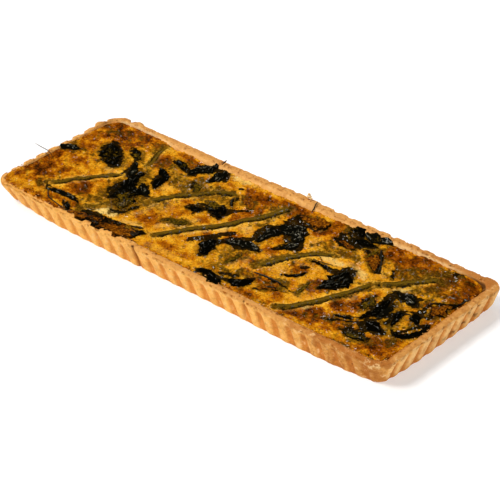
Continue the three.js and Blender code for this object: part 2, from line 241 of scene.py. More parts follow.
def spline(points: Sequence[Sequence[float]], parts: Array) -> tuple[Array, Array]:
    """Passes a smooth curve through points.

    Args:
        points: the points, of two or three coordinates.
        parts: places on the curve from 0 to 1, spaced evenly by point.

    Returns:
        The places and the unit tangents there.
    """
    given = np.array(points, float)
    last = len(given) - 1
    slot = np.clip(np.asarray(parts, float), 0.0, 1.0) * last
    low = np.minimum(np.floor(slot).astype(int), last - 1)
    t = (slot - low)[:, None]
    before = given[np.maximum(low - 1, 0)]
    start = given[low]
    end = given[low + 1]
    after = given[np.minimum(low + 2, last)]
    out = (end - before) / 2
    back = (after - start) / 2
    bend = 2 * start - 2 * end + out + back
    sway = 3 * end - 3 * start - 2 * out - back
    place = bend * t**3 + sway * t**2 + out * t + start
    tangent = 3 * bend * t**2 + 2 * sway * t + out
    tangent /= np.maximum(np.linalg.norm(tangent, axis=1, keepdims=True), 1e-9)
    return place, tangent


def spline_length(points: Sequence[Sequence[float]]) -> float:
    """Gives the length of the smooth curve through points."""
    place, _ = spline(points, np.linspace(0, 1, 60))
    return float(np.linalg.norm(np.diff(place, axis=0), axis=1).sum())


def path_distance(
    x: Array, y: Array, points: Sequence[Sequence[float]], steps: int = 24
) -> tuple[Array, Array]:
    """Measures how far places are from a smooth curve in plan.

    Args:
        x: first coordinates.
        y: second coordinates.
        points: the points that the curve passes.
        steps: how many straight steps stand for the curve.

    Returns:
        The distances, and how far along the curve its nearest point is, from 0 to 1.
    """
    place, _ = spline([p[:2] for p in points], np.linspace(0, 1, steps + 1))
    nearest = np.full(np.shape(x), 1e9)
    along = np.zeros(np.shape(x))
    for k in range(steps):
        (ax, ay), (bx, by) = place[k], place[k + 1]
        dx, dy = bx - ax, by - ay
        part = np.clip(((x - ax) * dx + (y - ay) * dy) / max(dx * dx + dy * dy, 1e-9), 0.0, 1.0)
        apart = np.hypot(x - ax - part * dx, y - ay - part * dy)
        closer = apart < nearest
        nearest = np.where(closer, apart, nearest)
        along = np.where(closer, (k + part) / steps, along)
    return nearest, along


def round_route(x: Array, y: Array, route: Route, reach: float) -> Array:
    """Tells which places lie in the box round a route.

    Args:
        x: first coordinates.
        y: second coordinates.
        route: the route's points.
        reach: how far the box is grown on every side.

    Returns:
        True for each place in the box.
    """
    line = np.array([point[:2] for point in route])
    low, high = line.min(axis=0) - reach, line.max(axis=0) + reach
    return (x > low[0]) & (x < high[0]) & (y > low[1]) & (y < high[1])


@dataclass(frozen=True)
class Stations:
    """Places round the widest outline of the quiche.

    Attributes:
        run: how far round each one is, in millimetres.
        part: its part of its flute, from 0 to 1.
        span: that flute's length.
        x: its first coordinate.
        y: its second coordinate.
        out_x: the outward direction's first part.
        out_y: the outward direction's second part.
    """

    run: Array
    part: Array
    span: Array
    x: Array
    y: Array
    out_x: Array
    out_y: Array

    def inwards(self, inset: Array) -> tuple[Array, Array]:
        """Gives the places that lie so far inwards."""
        return self.x - self.out_x * inset, self.y - self.out_y * inset


@dataclass(frozen=True)
class QuicheForm:
    """Sizes of the quiche and the heights of its rim and filling, in millimetres.

    Attributes:
        length: length over all.
        width: width over all.
        height: height of the rim.
        corner_radius: radius of the outline's corners.
        foot_inset: how far the foot lies inside the rim.
        foot_thinning: how much thinner the wall is at the foot.
        wall: thickness of the wall at the rim.
        wall_drift_x: how much thicker it is at the right than on average.
        wall_drift_y: how much thicker it is at the back.
        floor: thickness of the floor.
        filling_level: mean height of the custard.
        long_notches: notches between the flutes of a long side.
        short_notches: notches of a short side.
        long_pitch: distance between notches on a long side.
        short_pitch: distance between notches on a short side.
        rim_knobs: knobs of the rim, as x, y, height and reach.
        rim_dip: how far the rim sinks at the front left corner.
        rim_back_rise: how far it rises in the middle of the back.
        rim_waver: how far it wavers.
        corner_sinks: dips of the filling, as x, y, depth and reach.
        left_rise: how far the filling rises at the left end.
        front_rise: how far it rises along the front.
        back_sag: how far it sinks along the back.
        swell: height of its swells.
        cross_swell: height of the wider swells that run aslant.
        puff: height of its small swells.
    """

    length: float
    width: float
    height: float = 18.5
    corner_radius: float = 14.0
    foot_inset: float = 4.0
    foot_thinning: float = 1.5
    wall: float = 5.1
    wall_drift_x: float = 0.9
    wall_drift_y: float = 0.25
    floor: float = 4.5
    filling_level: float = 16.8
    long_notches: int = 27
    short_notches: int = 9
    long_pitch: float = 12.54
    short_pitch: float = 12.4
    rim_knobs: Lumps = ((-178, 42, 1.5, 9), (-157, 63, 0.9, 8))
    rim_dip: float = 0.9
    rim_back_rise: float = 0.9
    rim_waver: float = 0.25
    corner_sinks: Lumps = ((172, 57, 1.6, 11), (172, -57, 0.9, 8))
    left_rise: float = 0.7
    front_rise: float = 0.5
    back_sag: float = 0.6
    swell: float = 0.3
    cross_swell: float = 0.25
    puff: float = 0.3

    @property
    def taper(self) -> float:
        """Gives how far inwards the wall's inner face goes for each millimetre down."""
        return (self.foot_inset - self.foot_thinning) / (self.height - self.floor)

    def rim_level(self, x: Array, y: Array) -> Array:
        """Gives the height of the rim, with its dip, knobs and rise along the back.

        Args:
            x: first coordinates.
            y: second coordinates.

        Returns:
            The heights.
        """
        dip = self.rim_dip * ramp(-y, 20, 60) * bell(x, -self.length / 2, 50)
        back_rise = self.rim_back_rise * ramp(y, 40, 60) * bell(x, 2, 30)
        waver = self.rim_waver * np.sin(x / 17 + y / 40) - self.rim_waver
        return self.height - dip + lumps(x, y, self.rim_knobs) + back_rise + waver

    def filling_height(self, x: Array, y: Array) -> Array:
        """Gives the height of the custard's top before its fine relief.

        Args:
            x: first coordinates.
            y: second coordinates.

        Returns:
            The heights.
        """
        left_rise = self.left_rise * bell(x, -self.length / 2, 22)
        front_rise = self.front_rise * ramp(-y, 32, 58)
        back_sag = self.back_sag * ramp(y, 36, 57)
        swell = self.swell * np.sin(x / 9.1 + 1.3) * np.cos(y / 7.3)
        swell = swell + self.cross_swell * np.sin((x + y) / 13.7)
        puffs = self.puff * np.sin(x / 4.9 + y / 11) * np.sin(y / 5.3 + 0.7)
        level = self.filling_level + left_rise + front_rise - back_sag
        return level - lumps(x, y, self.corner_sinks) + swell + puffs

    def ground(self, x: Array, y: Array) -> Array:
        """Gives what a leaf lies on: the filling, and the rim where it laps over it.

        Args:
            x: first coordinates.
            y: second coordinates.

        Returns:
            The heights.
        """
        inner = self.wall - 1
        past = np.maximum(np.abs(x) - self.length / 2 + inner, np.abs(y) - self.width / 2 + inner)
        filling = self.filling_height(x, y)
        rim = np.maximum(self.rim_level(x, y) + 0.2, filling)
        return lerp(filling, rim, ramp(past, -6, -1.5))

    def outline(self, run: Array) -> tuple[Array, Array, Array, Array]:
        """Walks round the widest outline, counterclockwise from the front left corner.

        Args:
            run: distances walked in millimetres.

        Returns:
            x, y and the outward direction's two parts.
        """
        radius = self.corner_radius
        half_x, half_y = self.length / 2 - radius, self.width / 2 - radius
        arc = radius * math.pi / 2
        ends = np.cumsum(np.tile([2 * half_x + arc, 2 * half_y + arc], 2))
        rest = np.mod(run, self.perimeter)
        side = np.minimum(np.searchsorted(ends, rest, side="right"), 3)
        past = rest - ends[side] + arc
        angle = (side - 1) * np.pi / 2 + np.maximum(past, 0) / radius
        back = np.maximum(-past, 0)
        out_x, out_y = np.cos(angle), np.sin(angle)
        x = half_x * np.array([1, 1, -1, -1])[side] + out_x * radius + out_y * back
        y = half_y * np.array([-1, 1, 1, -1])[side] + out_y * radius - out_x * back
        return x, y, out_x, out_y

    @property
    def perimeter(self) -> float:
        """Gives the length of the widest outline."""
        straight = self.length + self.width - 4 * self.corner_radius
        return 2 * straight + 2 * math.pi * self.corner_radius

    def stations(self, steps: int, corner_steps: int) -> Stations:
        """Spaces places round the outline, a whole number of steps to each flute.

        Args:
            steps: steps in a flute.
            corner_steps: steps round a corner.

        Returns:
            The places.
        """
        arc = self.corner_radius * math.pi / 2
        notches: list[float] = []
        start = 0.0
        for side in range(4):
            is_long = side % 2 == 0
            run = (self.length if is_long else self.width) - 2 * self.corner_radius
            count = self.long_notches if is_long else self.short_notches
            pitch = self.long_pitch if is_long else self.short_pitch
            first = start + (run - (count - 1) * pitch) / 2
            notches += [first + i * pitch for i in range(count)]
            start += run + arc
        columns = []
        for begin, end in zip(notches, notches[1:] + [notches[0] + self.perimeter]):
            count = corner_steps if end - begin > 1.5 * self.long_pitch else steps
            part = np.arange(count) / count
            columns.append([begin + (end - begin) * part, part, np.full(count, end - begin)])
        run, part, span = np.concatenate(columns, axis=1)
        return Stations(run, part, span, *self.outline(run))

    def back_or_right(self, x: Array, y: Array) -> Array:
        """Rises from 0 to 1 towards the back and the right, where the rim is baked darker."""
        return np.maximum(ramp(x, -70, 30), ramp(y, 0, 50))

    def ledge(self, x: Array, y: Array) -> Array:
        """Gives where the back wall's top is thick and leans in over the filling."""
        return ramp(y, 50, 60) * (1 - 0.85 * ramp(x, 60, 125)) * (1 - ramp(-x, 100, 145))

    def inner_inset(self, out_x: Array, out_y: Array, z: Array | float) -> Array:
        """Gives how far the inner face of the wall lies inside the widest outline."""
        drift = self.wall_drift_x * out_x + self.wall_drift_y * out_y
        return self.wall + drift + (self.height - z) * self.taper


@dataclass
class Shell:
    """A mesh in millimetres before Blender has it.

    Attributes:
        points: one row of x, y, z for each point.
        faces: indices of each face's points.
        masks: values from 0 to 1 for each point, by name, that a finish reads.
    """

    points: Array
    faces: list[Sequence[int]]
    masks: dict[str, Array] = field(default_factory=dict)


def sheet_faces(rows: int, columns: int, closed: bool = False) -> Array:
    """Joins a grid of points, row by row, into four-sided faces.

    Args:
        rows: how many rows of points.
        columns: how many points in a row.
        closed: whether a row's last point joins its first.

    Returns:
        One row of four indices for each face.
    """
    down = np.arange(rows - 1)[:, None] * columns
    across = np.arange(columns if closed else columns - 1)[None, :]
    after = (across + 1) % columns
    corners = (down + across, down + after, down + columns + after, down + columns + across)
    return np.stack([corner.ravel() for corner in corners], axis=1)


def merged(shells: Sequence[Shell]) -> Shell:
    """Puts shells together into one.

    Args:
        shells: the shells.

    Returns:
        Their points and faces, with the masks that all of them have.
    """
    faces: list[Sequence[int]] = []
    start = 0
    for shell in shells:
        faces += [[i + start for i in face] for face in shell.faces]
        start += len(shell.points)
    names = set.intersection(*(set(shell.masks) for shell in shells))
    masks = {name: np.concatenate([shell.masks[name] for shell in shells]) for name in sorted(names)}
    return Shell(np.concatenate([shell.points for shell in shells]), faces, masks)


def border(rows: int, columns: int) -> Array:
    """Lists the points on a grid's edge, once round.

    Args:
        rows: how many rows of points.
        columns: how many points in a row.

    Returns:
        Their indices.
    """
    return np.concatenate([
        np.arange(columns),
        np.arange(1, rows) * columns + columns - 1,
        (rows - 1) * columns + np.arange(columns - 2, -1, -1),
        np.arange(rows - 2, 0, -1) * columns,
    ])


def tube(places: Array, radii: Array, sides: int, flatten: float = 1.0, ridges: float = 0.0) -> Shell:
    """Sweeps a round section along places and closes both ends.

    Args:
        places: points of the middle line.
        radii: radius at each place.
        sides: sides of the section.
        flatten: height of the section against its width.
        ridges: depth of lengthwise ridges against the radius.

    Returns:
        The closed shell, with a mask "round" that turns with the section.
    """
    count = len(places)
    tangent = np.gradient(places, axis=0)
    tangent /= np.linalg.norm(tangent, axis=1, keepdims=True)
    side = np.cross(tangent, [0.0, 0.0, 1.0])
    side /= np.maximum(np.linalg.norm(side, axis=1, keepdims=True), 1e-6)
    up = np.cross(side, tangent)
    angle = 2 * np.pi * np.arange(sides) / sides
    grooved = 1 - ridges * (0.5 + 0.5 * np.cos(5 * angle + 0.8))
    reach = radii[:, None] * grooved[None, :]
    rings = places[:, None, :] + side[:, None, :] * (reach * np.cos(angle))[..., None]
    rings = rings + up[:, None, :] * (reach * np.sin(angle) * flatten)[..., None]
    faces = [face[::-1] for face in sheet_faces(count, sides, closed=True).tolist()]
    faces.append(list(range(sides)))
    faces.append(list(range(count * sides - 1, (count - 1) * sides - 1, -1)))
    round_mask = np.tile(np.abs(np.cos(angle - 0.25)), count)
    return Shell(rings.reshape(-1, 3), faces, {"round": round_mask})


class Wire:
    """A shader socket on which Python's operators add Math nodes."""

    def __init__(self, recipe: "Recipe", socket: bpy.types.NodeSocket) -> None:
        """Keeps the socket and the recipe that it belongs to."""
        self.recipe = recipe
        self.socket = socket

    def _math(self, operation: str, *values: "Wire | float", clamp: bool = False) -> "Wire":
        """Adds a Math node for an operation on values."""
        settings = {"operation": operation, "use_clamp": clamp}
        return self.recipe.add("ShaderNodeMath", settings, dict(enumerate(values)))

    def __add__(self, other: "Wire | float") -> "Wire":
        """Adds."""
        return self._math("ADD", self, other)

    __radd__ = __add__

    def __sub__(self, other: "Wire | float") -> "Wire":
        """Subtracts."""
        return self._math("SUBTRACT", self, other)

    def __mul__(self, other: "Wire | float") -> "Wire":
        """Multiplies."""
        return self._math("MULTIPLY", self, other)

    __rmul__ = __mul__

    def clamped(self) -> "Wire":
        """Keeps the value between 0 and 1."""
        return self._math("ADD", self, 0.0, clamp=True)

    def rise(self, low: float, high: float) -> "Wire":
        """Rises smoothly from 0 to 1 as the value goes from low to high."""
        settings = {"interpolation_type": "SMOOTHSTEP"}
        return self.recipe.add("ShaderNodeMapRange", settings, {0: self, 1: low, 2: high, 3: 0.0, 4: 1.0})


class Recipe:
    """A material that is put together node by node."""

    def __init__(self, name: str) -> None:
        """Starts an empty material."""
        self.material = bpy.data.materials.new(name)
        self.material.use_nodes = True
        self.tree = self.material.node_tree
        self.tree.nodes.clear()

    def add(
        self, kind: str, settings: dict | None = None, inputs: dict | None = None, output: int | str = 0
    ) -> Wire:
        """Adds a node.

        Args:
            kind: the node's type.
            settings: its own settings by name, and "stops" for a ramp's stops.
            inputs: values or wires by socket name or number.
            output: the output that is wanted.

        Returns:
            The wire from that output.
        """
        node = self.tree.nodes.new(kind)
        for name, value in (settings or {}).items():
            if name == "stops":
                self._set_stops(node.color_ramp, value)
            else:
                setattr(node, name, value)
        for key, value in (inputs or {}).items():
            socket = node.inputs[key]
            if isinstance(value, Wire):
                self.tree.links.new(value.socket, socket)
            else:
                socket.default_value = value
        return Wire(self, node.outputs[output])

    @staticmethod
    def _set_stops(colour_ramp: bpy.types.ColorRamp, stops: Sequence[tuple[float, str]]) -> None:
        """Sets a ramp's stops.

        Args:
            colour_ramp: the ramp.
            stops: places and hex colours.
        """
        elements = colour_ramp.elements
        while len(elements) > 1:
            elements.remove(elements[-1])
        elements[0].position, elements[0].color = stops[0][0], linear(stops[0][1])
        for place, code in stops[1:]:
            elements.new(place).color = linear(code)

    def mask(self, name: str) -> Wire:
        """Reads a mask that the mesh carries."""
        return self.add("ShaderNodeAttribute", {"attribute_name": name}, output="Fac")

    def place(self) -> Wire:
        """Gives the place on the object, in metres."""
        return self.add("ShaderNodeTexCoord", output="Object")

    def noise(self, size: float, detail: float = 3.0, rough: float = 0.55, stretch: float = 0.0) -> Wire:
        """Gives noise from 0 to 1.

        Args:
            size: size of its features in millimetres.
            detail: how many finer layers it has.
            rough: strength of the finer layers.
            stretch: distortion of its features.

        Returns:
            The noise's value.
        """
        values = {
            "Vector": self.place(), "Scale": 1 / (size * MM), "Detail": detail,
            "Roughness": rough, "Distortion": stretch,
        }
        return self.add("ShaderNodeTexNoise", {"noise_dimensions": "3D"}, values)

    def cells(self, size: float) -> Wire:
        """Gives the distance to the nearest of many points that lie size millimetres apart."""
        values = {"Vector": self.place(), "Scale": 1 / (size * MM)}
        return self.add("ShaderNodeTexVoronoi", {"feature": "F1"}, values)

    def stops(self, value: Wire, *stops: tuple[float, str]) -> Wire:
        """Turns a value into a colour through a ramp of stops."""
        return self.add("ShaderNodeValToRGB", {"stops": stops}, {0: value})

    def mixed(self, below: "Wire | str", above: "Wire | str", part: "Wire | float") -> Wire:
        """Lays one colour over another.

        Args:
            below: the colour underneath.
            above: the colour on top.
            part: how much of the top one shows.

        Returns:
            The mixed colour.
        """
        low, high = (linear(c) if isinstance(c, str) else c for c in (below, above))
        settings = {"data_type": "RGBA", "blend_type": "MIX", "clamp_factor": True}
        return self.add("ShaderNodeMix", settings, {0: part, 6: low, 7: high}, output=2)

    def layers(self, base: "Wire | str", *layers: "tuple[Wire | str, Wire]") -> Wire:
        """Lays colours one after another over a base.

        Args:
            base: the colour underneath.
            layers: each colour on top, and how much of it shows.

        Returns:
            The finished colour.
        """
        colour = base
        for shade, part in layers:
            colour = self.mixed(colour, shade, part)
        return colour

    def bump(self, height: Wire, depth: float, strength: float = 1.0) -> Wire:
        """Turns a relief from 0 to 1, depth millimetres deep, into a normal."""
        values = {"Strength": strength, "Distance": depth * MM, "Height": height}
        return self.add("ShaderNodeBump", {}, values)

    def surface(
        self, colour: Wire, roughness: "Wire | float", normal: Wire | None = None, **rest: "Wire | float"
    ) -> None:
        """Finishes the material.

        Args:
            colour: base colour.
            roughness: roughness.
            normal: normal, or None for the mesh's own.
            rest: other values by socket name, with _ for a space.
        """
        values: dict = {"Base Color": colour, "Roughness": roughness}
        if normal is not None:
            values["Normal"] = normal
        values.update({name.replace("_", " "): value for name, value in rest.items()})
        shader = self.add("ShaderNodeBsdfPrincipled", {}, values)
        end = self.tree.nodes.new("ShaderNodeOutputMaterial")
        self.tree.links.new(shader.socket, end.inputs["Surface"])


@dataclass(frozen=True)
class PastryFinish:
    """Baked shortcrust: light crests, recesses browner and with painted shade, a tan rim and a few singed
    spots.
    """

    crest: str = "fabb60"
    # Browner colour with painted shade, laid in the flutes' hollows.
    recess: str = "dd8c3a"
    rim: str = "e2a456"
    toasted: str = "aa6426"
    browned: str = "94500c"
    # Colour of the splits: browner pastry with painted shade, darker as they are deeper.
    split: str = "8c4810"
    pale: str = "f6cf90"
    singed: str = "3c220c"
    spilt: tuple[str, str, str] = ("8c4c0c", "c07c22", "e09c38")

    def make(self) -> bpy.types.Material:
        """Builds the material.

        Returns:
            The finished pastry.
        """
        recipe = Recipe("baked_pastry")
        mask, noise = recipe.mask, recipe.noise
        fine, patchy, scorched = noise(1.3, 4, 0.6), noise(2.8, 4, 0.7), noise(6, 4, 0.7)
        # Browner colour and painted shade in the flutes' hollows.
        hollow = mask("recess") * (0.8 + 0.8 * patchy) + patchy.rise(0.46, 0.3) * 0.35
        spill = recipe.stops(noise(3, 4, 0.6), *zip((0.3, 0.5, 0.7), self.spilt))
        spots = recipe.cells(5.5).rise(0.14, 0.06) * noise(9, 2).rise(0.5, 0.6)
        colour = recipe.layers(
            self.crest,
            (self.pale, patchy.rise(0.5, 0.7) * 0.55),
            (self.recess, hollow.clamped()),
            (self.rim, mask("rim")),
            (self.pale, mask("inside")),
            (self.toasted, mask("toast") * (0.45 + 0.8 * noise(14, 3))),
            (spill, mask("spill")),
            (self.pale, fine.rise(0.6, 0.78) * 0.45),
            (self.toasted, fine.rise(0.44, 0.25) * 0.5),
            (self.toasted, scorched.rise(0.46, 0.62) * mask("blotched") * 0.8),
            (self.pale, scorched.rise(0.44, 0.32) * mask("blotched") * 0.7),
            (self.browned, noise(4.5, 4, 0.7).rise(0.5, 0.66) * mask("stained")),
            (self.singed, spots * 0.8),
            (self.split, mask("crack")),
            (self.singed, mask("scorch").clamped() * 0.8),
        )
        grain = recipe.bump(noise(0.9, 4, 0.65), 0.35, 1.0)
        recipe.surface(colour, 0.7 + 0.15 * fine, grain, Specular_IOR_Level=0.08)
        return recipe.material


@dataclass(frozen=True)
class CustardFinish:
    """Egg custard from pale gold to scorched brown, stained olive and black by the spinach, with painted
    shade in its grooves.
    """

    baked: tuple[tuple[float, str], ...] = (
        (0.0, "f0b231"), (0.18, "e29a1a"), (0.36, "cc800c"), (0.52, "ac5e05"), (0.7, "864102"),
        (0.88, "562501"), (1.0, "301401"),
    )
    pale: str = "eec46a"
    stain: tuple[str, str, str] = ("2c1d02", "4a3103", "7c5a12")
    speck: str = "120e03"
    # Black of soaked leaves and their stains, also used for painted shade in the grooves.
    black_stain_and_shade: str = "0e0a02"

    def make(self) -> bpy.types.Material:
        """Builds the material.

        Returns:
            The finished custard.
        """
        recipe = Recipe("baked_custard")
        mask, noise = recipe.mask, recipe.noise
        browned = mask("browned") + (noise(1.5, 5, 0.75) - 0.5) * 1.15
        olive = mask("green") * 1.25 + (noise(2.0, 5, 0.75) - 0.5) * 2.0
        stain = recipe.stops(noise(1.4, 4, 0.7), *zip((0.36, 0.5, 0.66), self.stain))
        herb = noise(0.9, 3, 0.65).rise(0.56, 0.61) * noise(6, 3).rise(0.38, 0.56)
        black = mask("dark") * 1.25 + (noise(1.7, 5, 0.75) - 0.5) * 2.0
        colour = recipe.layers(
            recipe.stops(browned, *self.baked),
            (self.pale, mask("pale")),
            (stain, olive.rise(0.1, 1.3) * 0.95),
            (self.speck, herb * 0.85),
            # Black where leaves stain the top, and painted shade in the grooves.
            (self.black_stain_and_shade, black.rise(0.3, 0.85) * 0.96),
        )
        relief = recipe.bump(noise(1.1, 4, 0.6), 0.35, 0.9)
        wet = noise(1.6, 3).rise(0.56, 0.62) * 0.7
        recipe.surface(
            colour, 0.6, relief, Specular_IOR_Level=0.0, Coat_Weight=wet, Coat_Roughness=0.15
        )
        return recipe.material


@dataclass(frozen=True)
class StalkFinish:
    """A braised stalk: olive brown, with dark streaks and painted shade along its sides, and a film of egg.
    """

    light: str = "664c0e"
    # Colour of the dark streaks and of the painted shade along the sides.
    dark: str = "1a1202"
    film: str = "a8741a"
    stain: str = "4a3103"

    def make(self) -> bpy.types.Material:
        """Builds the material.

        Returns:
            The finished stalk.
        """
        recipe = Recipe("braised_stalk")
        mask, noise = recipe.mask, recipe.noise
        streak = noise(2.2, 4, 0.6, 1.0)
        # Dark streaks, with painted shade along both sides of the stalk.
        edge = mask("round") * 1.2 + (streak - 0.5) * 3.0
        cover = mask("film") * 1.4 + mask("round") * 0.4 + noise(2.4, 4, 0.7) * 1.6 - 1.45
        colour = recipe.layers(
            self.light,
            (self.dark, edge.rise(0.1, 1.2)),
            (self.stain, (cover + 0.15).rise(0.0, 0.4) * 0.6),
            (self.film, cover.rise(0.0, 0.5)),
        )
        relief = recipe.bump(noise(1.0, 3), 0.25, 0.8)
        wet = streak.rise(0.54, 0.64) * 0.55
        recipe.surface(
            colour, 0.6, relief, Specular_IOR_Level=0.0, Coat_Weight=wet, Coat_Roughness=0.2
        )
        return recipe.material


@dataclass(frozen=True)
class LeafFinish:
    """A wilted leaf: its body, the painted sheen on its raised folds, and the film of custard that covers
    it.
    """

    look: Look
    body: str
    # Colour of the painted sheen laid on raised folds.
    fold: str
    film: tuple[str, str, str]
    wetness: float

    def make(self) -> bpy.types.Material:
        """Builds the material.

        Returns:
            The finished leaf.
        """
        recipe = Recipe(f"wilted_leaf_{self.look.value}")
        mask, noise = recipe.mask, recipe.noise
        # Painted sheen along the raised folds; the same lines also carry the coat's gloss.
        sheen_and_gloss_lines = (mask("fold") + (noise(1.4, 4, 0.6, 0.6) - 0.5) * 2.0).rise(0.5, 1.05)
        film = recipe.stops(noise(1.8, 4, 0.65), *zip((0.36, 0.5, 0.64), self.film))
        cover = (mask("film") * 1.5 + noise(3.2, 4, 0.65, 0.8) * 1.6 - 1.3).rise(0.0, 0.4)
        colour = recipe.layers(self.body, (self.fold, sheen_and_gloss_lines), (film, cover))
        relief = recipe.bump(noise(1.1, 4, 0.65, 0.5), 0.45, 1.0)
        wet = sheen_and_gloss_lines * self.wetness
        recipe.surface(
            colour, 0.5, relief, Specular_IOR_Level=0.0, Coat_Weight=wet, Coat_Roughness=0.25
        )
        return recipe.material


OLIVE_FILM = ("241a04", "4a3806", "785810")
BROWN_FILM = ("3e1c04", "703a06", "a8640e")

# The third colour of each finish is its painted sheen on raised folds.
LEAF_FINISHES = {
    Look.DARK: LeafFinish(Look.DARK, "060502", "302d20", OLIVE_FILM, 0.8),
    Look.GREY: LeafFinish(Look.GREY, "0b0a05", "605a44", OLIVE_FILM, 1.0),
    Look.OLIVE: LeafFinish(Look.OLIVE, "221a06", "40320c", OLIVE_FILM, 0.3),
    Look.BROWN: LeafFinish(Look.BROWN, "0c0803", "281a06", BROWN_FILM, 0.4),
}


@dataclass(frozen=True)
class PlainFinish:
    """One bit of trimming in two close shades."""

    name: str
    first: str
    second: str
    size: float
    roughness: float

    def make(self) -> bpy.types.Material:
        """Builds the material.

        Returns:
            The finished trimming.
        """
        recipe = Recipe(self.name)
        shade = recipe.noise(self.size, 3)
        colour = recipe.mixed(self.first, self.second, shade.rise(0.35, 0.65))
        recipe.surface(colour, self.roughness, recipe.bump(shade, 0.15, 0.6), Specular_IOR_Level=0.1)
        return recipe.material


DARK_STRAND = PlainFinish("dark_strand", "100e07", "2b2a1c", 2, 0.35)
ROOT_HAIR = PlainFinish("root_hair", "5d3d1c", "2c1c0c", 2, 0.6)
HERB_FLECK = PlainFinish("herb_fleck", "15130a", "3b3311", 2.5, 0.4)
PASTRY_CRUMB = PlainFinish("pastry_crumb", "e3a85e", "a9662a", 3, 0.8)
COOKED_EGG = PlainFinish("cooked_egg", "f2cf94", "e3ab5c", 2, 0.5)


def placed(name: str, data: bpy.types.ID) -> bpy.types.Object:
    """Makes an object of a mesh, a light or a camera and puts it in the scene.

    Args:
        name: the object's name.
        data: what it shows.

    Returns:
        The object.
    """
    item = bpy.data.objects.new(name, data)
    bpy.context.scene.collection.objects.link(item)
    return item


def make_piece(
    name: str, shell: Shell, material: bpy.types.Material, replaced: Sequence[str] = ()
) -> bpy.types.Object:
    """Makes a Blender object of a shell, dresses it and puts it on the body.

    Args:
        name: the piece's name.
        shell: its mesh in millimetres.
        material: its finish.
        replaced: CAD nodes that it stands for.

    Returns:
        The object.
    """
    mesh = bpy.data.meshes.new(name)
    mesh.from_pydata((shell.points * MM).tolist(), [], [list(face) for face in shell.faces])
    for mask, values in shell.masks.items():
        layer = mesh.attributes.new(mask, "FLOAT", "POINT")
        layer.data.foreach_set("value", np.clip(values, 0.0, 1.0).astype(np.float32))
    mesh.shade_smooth()
    mesh.materials.append(material)
    piece = placed(name, mesh)
    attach(piece, BODY)
    if replaced:
        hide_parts(*replaced)
    LOG.info("%s: %d points, %d faces", name, len(shell.points), len(shell.faces))
    return piece


@dataclass(frozen=True)
class Crack:
    """A split in the front wall, by where it starts on the rim and ends at the foot."""

    top: float
    foot: float
    width: float
    depth: float


